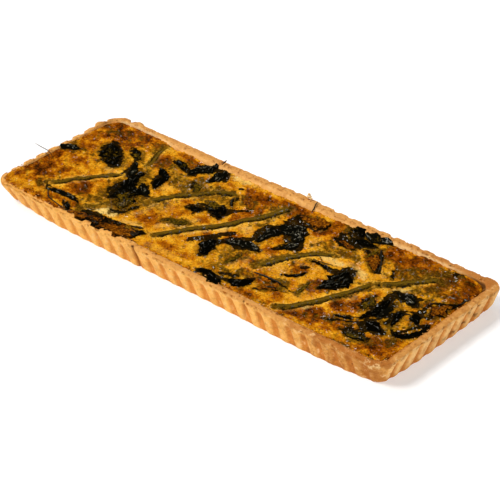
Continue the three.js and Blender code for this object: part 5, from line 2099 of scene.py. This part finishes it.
@dataclass
class Stalk:
    """One braised stalk, half sunk in the custard.

    Attributes:
        form: sizes of the quiche.
        spec: which stalk it is.
        sides: sides of its section.
        step: distance between its rings of points.
        sink: how far its middle lies below the filling's top.
        flatten: its height against its width.
        spread: its width against its specification, before the custard covers its sides.
        wobble: how far its middle line wavers.
        end_drop: how far its ends dip under.
        ridges: depth of its lengthwise ridges.
    """

    form: QuicheForm
    spec: StalkSpec
    sides: int = 18
    step: float = 0.9
    sink: float = 0.45
    flatten: float = 0.36
    spread: float = 1.4
    wobble: float = 0.35
    end_drop: float = 1.2
    ridges: float = 0.14

    def build(self, material: bpy.types.Material, seed: int) -> bpy.types.Object:
        """Builds and dresses the stalk.

        Args:
            material: its finish.
            seed: seed of its unevenness.

        Returns:
            The object that replaces the stalk's node.
        """
        layered = Noise(STALK_SEED + seed).layered
        length = spline_length(self.spec.line)
        part = np.linspace(0, 1, max(8, int(length / self.step)))
        place, _ = spline(self.spec.line, part)
        run = part * length
        still = run * 0
        ends = np.minimum(run, length - run)
        wobble = self.wobble * layered(run, still, 11, 3)
        height = self.form.filling_height(place[:, 0], place[:, 1]) - self.sink
        height = height + 0.25 * layered(run, still + 9, 9, 2) - self.end_drop * (1 - ramp(ends, 0, 4))
        places = np.column_stack([place[:, 0] + wobble, place[:, 1] - wobble, height])
        radii = self.spread * self.spec.radius(part) * (1 + 0.1 * layered(run, still + 5, 7, 3))
        radii = radii * (0.55 + 0.45 * ramp(ends, 0, 3.5))
        shell = tube(places, radii, self.sides, self.flatten, self.ridges)
        cover = 0.55 * (1 - ramp(ends, 1, 7)) + 0.5 * ramp(layered(run, still + 31, 16, 3), 0.0, 0.6)
        shell.masks["film"] = np.repeat(cover, self.sides)
        return make_piece(f"braised_{self.spec.node}", shell, material, [self.spec.node])


@dataclass
class Leaf:
    """One wilted leaf, parts of which the custard covers.

    Attributes:
        custard: the filling that it lies on.
        spec: which leaf it is.
        cell: distance between its points.
        thickness: thickness of its middle.
        edge_thickness: thickness of its margin.
        clearance: how far its middle stands above the filling.
        margin_depth: how far its margin is sunk in it.
        lowered: height of its folds against its specification.
        crease_size: distance between its creases.
        fine_size: distance between its fine wrinkles.
        fine_depth: depth of those.
        pleat_depth: depth of a fanned leaf's folds.
        rib_height: how far a stalk under it lifts it.
        rib_reach: how far to both sides that shows.
    """

    custard: Custard
    spec: LeafSpec
    cell: float = 0.6
    thickness: float = 0.8
    edge_thickness: float = 0.25
    clearance: float = 0.2
    margin_depth: float = 0.6
    lowered: float = 0.6
    crease_size: float = 3.6
    fine_size: float = 1.7
    fine_depth: float = 0.35
    pleat_depth: float = 0.5
    rib_height: float = 1.1
    rib_reach: float = 2.4

    def __post_init__(self) -> None:
        """Draws the leaf's own noise and measures its length."""
        self.noise = Noise(LEAF_SEED + self.spec.number)
        self.length = spline_length(self.spec.line)

    def _plan(self, along: Array, across: Array) -> tuple[Array, Array]:
        """Lays the leaf's grid out in plan, with its torn margin.

        Args:
            along: parts of the length, down a column.
            across: places across it from -1 to 1, along a row.

        Returns:
            Both coordinates of the grid's points.
        """
        spec, layered = self.spec, self.noise.layered
        middle, tangent = spline(spec.line, along[:, 0])
        (mid_x, mid_y), (ahead_x, ahead_y) = middle.T[..., None], tangent.T[..., None]
        run = along * self.length + 0 * across
        side = np.sign(across) * 40 + 0 * along
        wave = np.sin(5.1 * along * (len(spec.line) - 1) + 2 * (spec.number - 1) + across)
        torn = 0.8 * layered(run, side, 7.5, 2) + 0.4 * layered(run, side + 9, 3.2, 2, 0.6)
        half, rounding = spec.half_widths(along)
        reach = half * rounding * across * np.clip(1.08 + 0.14 * wave + torn, 0.4, 1.5)
        slant = 1.6 * layered(run, side + 20, 6, 2) * across**2
        x = mid_x - ahead_y * reach + ahead_x * slant
        y = mid_y + ahead_x * reach + ahead_y * slant
        return x, np.maximum(y, 0.7 - self.custard.form.width / 2)

    def _folds(self, along: Array, across: Array) -> Array:
        """Gives how far the leaf's crumpled middle stands above the filling.

        Args:
            along: parts of the length, down a column.
            across: places across it from -1 to 1, along a row.

        Returns:
            The heights of the grid's points.
        """
        spec, layered = self.spec, self.noise.layered
        run = along * self.length + 0 * across
        aside = spec.half_widths(along)[0] * across
        fold = 0.5 + 0.5 * np.sin(7 * along + 2.6 * across + 1.7 * (spec.number - 1))
        crease = 1 - 2.4 * np.abs(layered(run * 0.3, aside, self.crease_size, 2, 0.6))
        fine = 1 - 2.4 * np.abs(layered(run * 0.5 + 30, aside, self.fine_size, 2, 0.6))
        relief = 0.2 * fold + 0.8 * np.clip(crease, 0, 1) ** 1.6
        sag = 0.3 * layered(run, aside + 60, 7, 3)
        body = self.clearance + self.lowered * spec.rise * relief + self.fine_depth * fine + sag
        if spec.pleats:
            turn = across * np.pi * spec.pleats + self.noise.plain(along * 3, across)
            body = body + self.pleat_depth * np.cos(turn)
        return body

    def _veil(self, along: Array, inner: Array, high: Array) -> Array:
        """Gives how much custard covers points, by how far inside the margin and how high they are."""
        veil = self.spec.veil(along) * (0.45 + 0.55 * ramp(inner, 0.1, 0.6)) * (1 - 0.6 * high)
        return np.maximum(veil, 0.5 * (1 - ramp(inner, 0.02, 0.3)) * (1 - 0.7 * high))

    def build(self, material: bpy.types.Material) -> bpy.types.Object:
        """Builds and dresses the leaf.

        Args:
            material: the finish of its look.

        Returns:
            The object that replaces the leaf's node.
        """
        spec = self.spec
        rows = max(8, int(self.length / self.cell))
        columns = max(7, int(max(spec.widths) / self.cell))
        along = np.linspace(0, 1, rows)[:, None]
        across = np.linspace(-1, 1, columns)[None, :]
        inner = 1 - np.abs(across)
        x, y = self._plan(along, across)
        body = self._folds(along, across)
        rib = np.zeros(x.shape)
        if spec.rib:
            rib = np.exp(-((path_distance(x, y, spec.rib)[0] / self.rib_reach) ** 4))
            body = body + self.rib_height * rib
        margin = ramp(inner, 0, 0.3) * ramp(np.minimum(along, 1 - along) * self.length, 0, 2.0)
        ground = self.custard.bed(x, y) + spec.tip * (1 - along) ** 2
        top = ground + lerp(-self.margin_depth, body, margin)
        below = top - lerp(self.edge_thickness, self.thickness, margin)
        count = rows * columns
        edge = border(rows, columns)
        following = np.roll(edge, -1)
        sheet = sheet_faces(rows, columns)
        side = np.stack([edge, edge + count, following + count, following], axis=1)
        if not self._turns_up(x, y):
            sheet, side = sheet[:, ::-1], side[:, ::-1]
        faces = sheet.tolist() + (sheet[:, ::-1] + count).tolist() + side.tolist()
        points = np.concatenate([np.stack([x, y, h], axis=-1).reshape(-1, 3) for h in (top, below)])
        high = ramp(top - ground, 0.4, 0.6 + self.lowered * spec.rise)
        veil = np.maximum(self._veil(along, inner, high), 1.1 * rib)
        # The fold mask marks the raised parts, where the finish lays its painted sheen.
        masks = {"fold": np.tile(high.ravel(), 2), "film": np.tile(veil.ravel(), 2)}
        node = f"leaf_{spec.number:02d}"
        return make_piece(f"wilted_{node}", Shell(points, faces, masks), material, [node])

    @staticmethod
    def _turns_up(x: Array, y: Array) -> bool:
        """Tells whether the faces of a grid look up as they are ordered."""
        right = x[0, 1] - x[0, 0], y[0, 1] - y[0, 0]
        ahead = x[1, 0] - x[0, 0], y[1, 0] - y[0, 0]
        return right[0] * ahead[1] - right[1] * ahead[0] > 0


@dataclass(frozen=True)
class Strand:
    """A hair of leaf or root: its points, with their height above the ground, and its thickness."""

    line: Route
    thickness: float


@dataclass
class Trimmings:
    """The hairs, flecks, crumbs and the bit of egg that lie on the quiche.

    Attributes:
        form: sizes of the quiche.
        custard: the filling that they lie on.
        strand_sides: sides of a strand's section.
        strand_step: distance between its rings of points.
        fleck_count: how many herb flecks are drawn.
        fleck_sides: corners of a fleck.
        fleck_x: reach of the flecks along the quiche.
        fleck_y: their reach across it.
        fleck_size: smallest and largest half width of a fleck.
        crumb_count: how many pastry crumbs are drawn.
        crumb_inset: how far inside the outline they lie.
        crumb_size: their smallest and largest width.
        lump_rows: levels of a crumb's points.
        lump_sides: points round it.
        egg_place: where the egg lies on the rim.
        dark_strands: strands of leaf.
        brown_strands: hair-like root ends.
        egg_lumps: its lumps, as x, y, height over the rim and width.
    """

    form: QuicheForm
    custard: Custard
    strand_sides: int = 7
    strand_step: float = 0.8
    fleck_count: int = 1500
    fleck_sides: int = 6
    fleck_x: tuple[float, float] = (-174, 171)
    fleck_y: tuple[float, float] = (-58, 58)
    fleck_size: tuple[float, float] = (0.25, 0.65)
    crumb_count: int = 420
    crumb_inset: tuple[float, float] = (2.4, 7.0)
    crumb_size: tuple[float, float] = (0.4, 1.1)
    lump_rows: int = 5
    lump_sides: int = 8
    egg_place: tuple[float, float] = (12.0, 63.0)
    dark_strands: tuple[Strand, ...] = (
        Strand(((-138, -49, 0.8), (-130, -56, 0.6), (-120, -59, 0.5), (-106, -62, 0.9)), 0.8),
        Strand(((-170, -17, 0.4), (-177, -15, 0.5)), 0.4),
        Strand(((20.7, 63, 0.4), (22.3, 59, 0.7), (23, 56, 1.2), (23.2, 53.5, 0.8)), 0.9),
        Strand(((65, 5, 0.5), (72, 7, 0.4), (79, 9, 0.4)), 0.6),
        Strand(((60, 12, 0.4), (66, 11, 0.4), (72, 6, 0.3)), 0.5),
        Strand(((45, -33, 0.5), (55, -32, 0.5), (67, -31, 0.6)), 1.2),
        Strand(((63, -42, 0.6), (65, -40, 0.6), (69, -38, 0.4)), 1.2),
        Strand(((171, 25, 0.8), (173, 28, 1.0), (174, 33, 0.8), (171, 36, 0.4)), 0.7),
        Strand(((-29, 30, 0.5), (-28, 26, 0.6), (-24, 21, 0.6)), 1.2),
        Strand(((91, 46, 0.5), (97.5, 38, 0.7), (103, 30.5, 0.7), (107.5, 22, 0.3)), 1.1),
    )
    brown_strands: tuple[Strand, ...] = (
        Strand(((-170, -14, 0.5), (-176.4, -12.5, 1.0), (-183.6, -11.8, 0.9), (-192.5, -10.2, 0.2)), 0.6),
        Strand(((-66, 58, 1.2), (-66.5, 61, 1.2), (-67, 64, 1.4)), 1.1),
    )
    egg_lumps: tuple[tuple[float, float, float, float], ...] = (
        (12.0, 62.8, 1.0, 2.6), (13.5, 63.0, 1.6, 2.6), (12.6, 63.2, 3.2, 2.2), (15.0, 62.6, 0.8, 2.0),
    )

    def build(self) -> None:
        """Builds every trimming."""
        self._strands("dark_strands", self.dark_strands, DARK_STRAND)
        self._strands("root_hairs", self.brown_strands, ROOT_HAIR)
        self._flecks()
        self._crumbs()
        self._egg()

    def _strands(self, name: str, strands: Sequence[Strand], finish: PlainFinish) -> None:
        """Builds strands as one piece of thin tubes.

        Args:
            name: the piece's name.
            strands: the strands.
            finish: their finish.
        """
        shells = []
        for strand in strands:
            part = np.linspace(0, 1, max(6, int(spline_length(strand.line) / self.strand_step)))
            place, _ = spline(strand.line, part)
            place[:, 2] += self.form.ground(place[:, 0], place[:, 1])
            taper = 0.35 + 0.65 * np.sin(np.pi * np.clip(part, 0.05, 0.95)) ** 0.6
            shells.append(tube(place, strand.thickness / 2 * taper, self.strand_sides))
        make_piece(name, merged(shells), finish.make())

    def _fleck(self, place: Sequence[float], draw: np.random.Generator) -> Shell:
        """Makes one herb fleck, a flat scrap with a raised middle.

        Args:
            place: its middle.
            draw: seeded draw.

        Returns:
            The closed shell.
        """
        x, y, z = place
        sides = self.fleck_sides
        angle = np.arange(sides) * 2 * np.pi / sides + draw.uniform(0, 1)
        size = draw.uniform(*self.fleck_size) * draw.uniform(0.5, 1.2, sides)
        turn = draw.uniform(0, np.pi)
        flat_x, flat_y = size * np.cos(angle) * 1.5, size * np.sin(angle) * 0.7
        ring = np.column_stack([
            x + flat_x * math.cos(turn) - flat_y * math.sin(turn),
            y + flat_x * math.sin(turn) + flat_y * math.cos(turn),
            z + draw.uniform(-0.05, 0.12, sides),
        ])
        points = np.concatenate([ring, [[x, y, z + 0.22], [x, y, z - 0.2]]])
        faces = [[i, (i + 1) % sides, sides] for i in range(sides)]
        faces += [[(i + 1) % sides, i, sides + 1] for i in range(sides)]
        return Shell(points, faces)

    def _flecks(self) -> None:
        """Scatters herb flecks over the custard, thicker in some places than in others."""
        draw = np.random.default_rng(FLECK_SEED)
        x = draw.uniform(*self.fleck_x, self.fleck_count)
        y = draw.uniform(*self.fleck_y, self.fleck_count)
        wanted = 0.35 + 0.6 * self.custard.noise.layered(x, y, 18, 2)
        keep = draw.uniform(0, 1, self.fleck_count) < wanted
        x, y = x[keep], y[keep]
        shells = [self._fleck(place, draw) for place in zip(x, y, self.custard.height(x, y))]
        make_piece("herb_flecks", merged(shells), HERB_FLECK.make())

    def _lump(self, place: Sequence[float], size: float, draw: np.random.Generator) -> Shell:
        """Makes one rough lump.

        Args:
            place: its middle.
            size: its width.
            draw: seeded draw.

        Returns:
            The closed shell.
        """
        x, y, z = place
        sides = self.lump_sides
        angle = np.arange(sides) * 2 * np.pi / sides
        rings = []
        for level in np.linspace(-1, 1, self.lump_rows)[1:-1] * 0.9:
            reach = math.sqrt(1 - level**2) * size / 2 * draw.uniform(0.75, 1.2, sides)
            height = np.full(sides, z + level * size * 0.4)
            rings.append(np.column_stack([x + reach * np.cos(angle), y + reach * np.sin(angle), height]))
        points = np.concatenate([*rings, [[x, y, z - size * 0.4], [x, y, z + size * 0.4]]])
        faces = sheet_faces(len(rings), sides, closed=True).tolist()
        low, high = len(points) - 2, len(points) - 1
        last = (len(rings) - 1) * sides
        faces += [[(i + 1) % sides, i, low] for i in range(sides)]
        faces += [[last + i, last + (i + 1) % sides, high] for i in range(sides)]
        return Shell(points, faces)

    def _crumbs(self) -> None:
        """Scatters pastry crumbs along the rim."""
        draw = np.random.default_rng(CRUMB_SEED)
        run = draw.uniform(0, self.form.perimeter, self.crumb_count)
        x0, y0, out_x, out_y = self.form.outline(run)
        inward = draw.uniform(*self.crumb_inset, self.crumb_count)
        x, y = x0 - out_x * inward, y0 - out_y * inward
        size = draw.uniform(*self.crumb_size, self.crumb_count)
        z = self.form.ground(x, y) + 0.1 * size
        shells = [self._lump(place, width, draw) for *place, width in zip(x, y, z, size)]
        make_piece("pastry_crumbs", merged(shells), PASTRY_CRUMB.make())

    def _egg(self) -> None:
        """Puts the bit of cooked egg on the back rim."""
        draw = np.random.default_rng(EGG_SEED)
        rim = float(self.form.rim_level(*self.egg_place))
        shells = [self._lump((x, y, rim + z), size, draw) for x, y, z, size in self.egg_lumps]
        make_piece("egg_crumb", merged(shells), COOKED_EGG.make())


@dataclass(frozen=True)
class Sun:
    """A soft distant light: the direction towards it, the angle that it fills and its power."""

    name: str
    toward: tuple[float, float, float]
    softness: float
    power: float

    def build(self) -> None:
        """Puts the light in the scene."""
        light = bpy.data.lights.new(self.name, "SUN")
        light.angle = math.radians(self.softness)
        light.energy = self.power
        holder = placed(self.name, light)
        holder.rotation_euler = Vector(self.toward).to_track_quat("Z", "Y").to_euler()


@dataclass
class Studio:
    """The floor, the lights and the camera.

    Attributes:
        azimuth: degrees that the camera stands round to the right of the front.
        elevation: degrees that it looks down.
        distance: millimetres from the point that it looks at.
        aim: that point.
        focal_pixels: focal length, in pixels of the picture.
        picture: width of the picture in pixels.
        sensor: width of the sensor.
        clip_end: how far it sees, in metres.
        overhead: brightness of the room overhead.
        horizon: brightness of the room near the horizon.
        floor_half: half the floor's size, in metres.
        suns: the lights.
    """

    azimuth: float = 41.35
    elevation: float = 32.45
    distance: float = 1325.0
    aim: tuple[float, float, float] = (6.5, 6.5, 0.0)
    focal_pixels: float = 1893.0
    picture: float = 500.0
    sensor: float = 36.0
    clip_end: float = 60.0
    overhead: float = 0.07
    horizon: float = 0.6
    floor_half: float = 12.0
    suns: tuple[Sun, ...] = (
        Sun("key", (-0.6, -0.65, 1.1), 20, 2.5),
        Sun("left", (-0.9, 0.1, 1.0), 24, 0.7),
        Sun("right", (0.9, -0.35, 0.6), 40, 1.3),
        Sun("back", (-0.5, 0.72, 0.75), 7, 0.25),
    )

    def _camera(self) -> None:
        """Places the camera at the photograph's angle."""
        camera = bpy.data.cameras.new("camera")
        camera.sensor_width = self.sensor
        camera.lens = self.focal_pixels * self.sensor / self.picture
        camera.clip_end = self.clip_end
        az, el = math.radians(self.azimuth), math.radians(self.elevation)
        back = Vector((math.sin(az) * math.cos(el), -math.cos(az) * math.cos(el), math.sin(el)))
        right = Vector((math.cos(az), math.sin(az), 0))
        turn = Matrix((right, back.cross(right), back)).transposed().to_4x4()
        place = Vector(self.aim) * MM + back * self.distance * MM
        holder = placed("camera", camera)
        holder.matrix_world = Matrix.Translation(place) @ turn
        bpy.context.scene.camera = holder

    def _surroundings(self) -> None:
        """Makes the room pale near the horizon and dim overhead."""
        world = bpy.data.worlds.new("studio")
        world.use_nodes = True
        tree = world.node_tree
        background = tree.nodes["Background"]
        place = tree.nodes.new("ShaderNodeTexCoord")
        split = tree.nodes.new("ShaderNodeSeparateXYZ")
        shade = tree.nodes.new("ShaderNodeValToRGB")
        tree.links.new(place.outputs["Generated"], split.inputs[0])
        tree.links.new(split.outputs["Z"], shade.inputs[0])
        tree.links.new(shade.outputs[0], background.inputs["Color"])
        low, high = shade.color_ramp.elements
        low.position, low.color = 0.04, (self.horizon, self.horizon, self.horizon, 1.0)
        high.position, high.color = 0.2, (self.overhead, self.overhead, self.overhead, 1.0)
        background.inputs["Strength"].default_value = 1.0
        bpy.context.scene.world = world

    def _floor(self) -> None:
        """Lays the pale floor."""
        half = self.floor_half
        corners = [(-half, -half, 0), (half, -half, 0), (half, half, 0), (-half, half, 0)]
        mesh = bpy.data.meshes.new("floor")
        mesh.from_pydata(corners, [], [(0, 1, 2, 3)])
        recipe = Recipe("pale_floor")
        colour = recipe.mixed("d2d2d1", "d5d5d4", recipe.noise(40, 2))
        recipe.surface(colour, 0.9, Emission_Strength=0.4)
        mesh.materials.append(recipe.material)
        floor = placed("floor", mesh)

    def build(self) -> None:
        """Sets up everything that isn't the quiche."""
        bpy.context.scene.view_settings.view_transform = "Standard"
        self._surroundings()
        for sun in self.suns:
            sun.build()
        self._floor()
        self._camera()


def main() -> None:
    """Builds the quiche and the studio in order."""
    logging.basicConfig(level=logging.INFO, format="%(message)s")
    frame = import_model()
    low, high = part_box("crust")
    form = QuicheForm(length=(high.x - low.x) / MM, width=(high.y - low.y) / MM)
    LOG.info("case %.1f by %.1f mm, %d nodes", form.length, form.width, len(frame["nodes"]))
    case = PastryCase(form)
    case.build()
    custard = Custard(form, case)
    custard.build()
    stalk_material = StalkFinish().make()
    for seed, stalk in enumerate(STALKS):
        Stalk(form, stalk).build(stalk_material, seed)
    leaf_materials = {look: finish.make() for look, finish in LEAF_FINISHES.items()}
    for leaf in LEAVES:
        Leaf(custard, leaf).build(leaf_materials[leaf.look])
    Trimmings(form, custard).build()
    Studio().build()


if __name__ == "__main__":
    main()
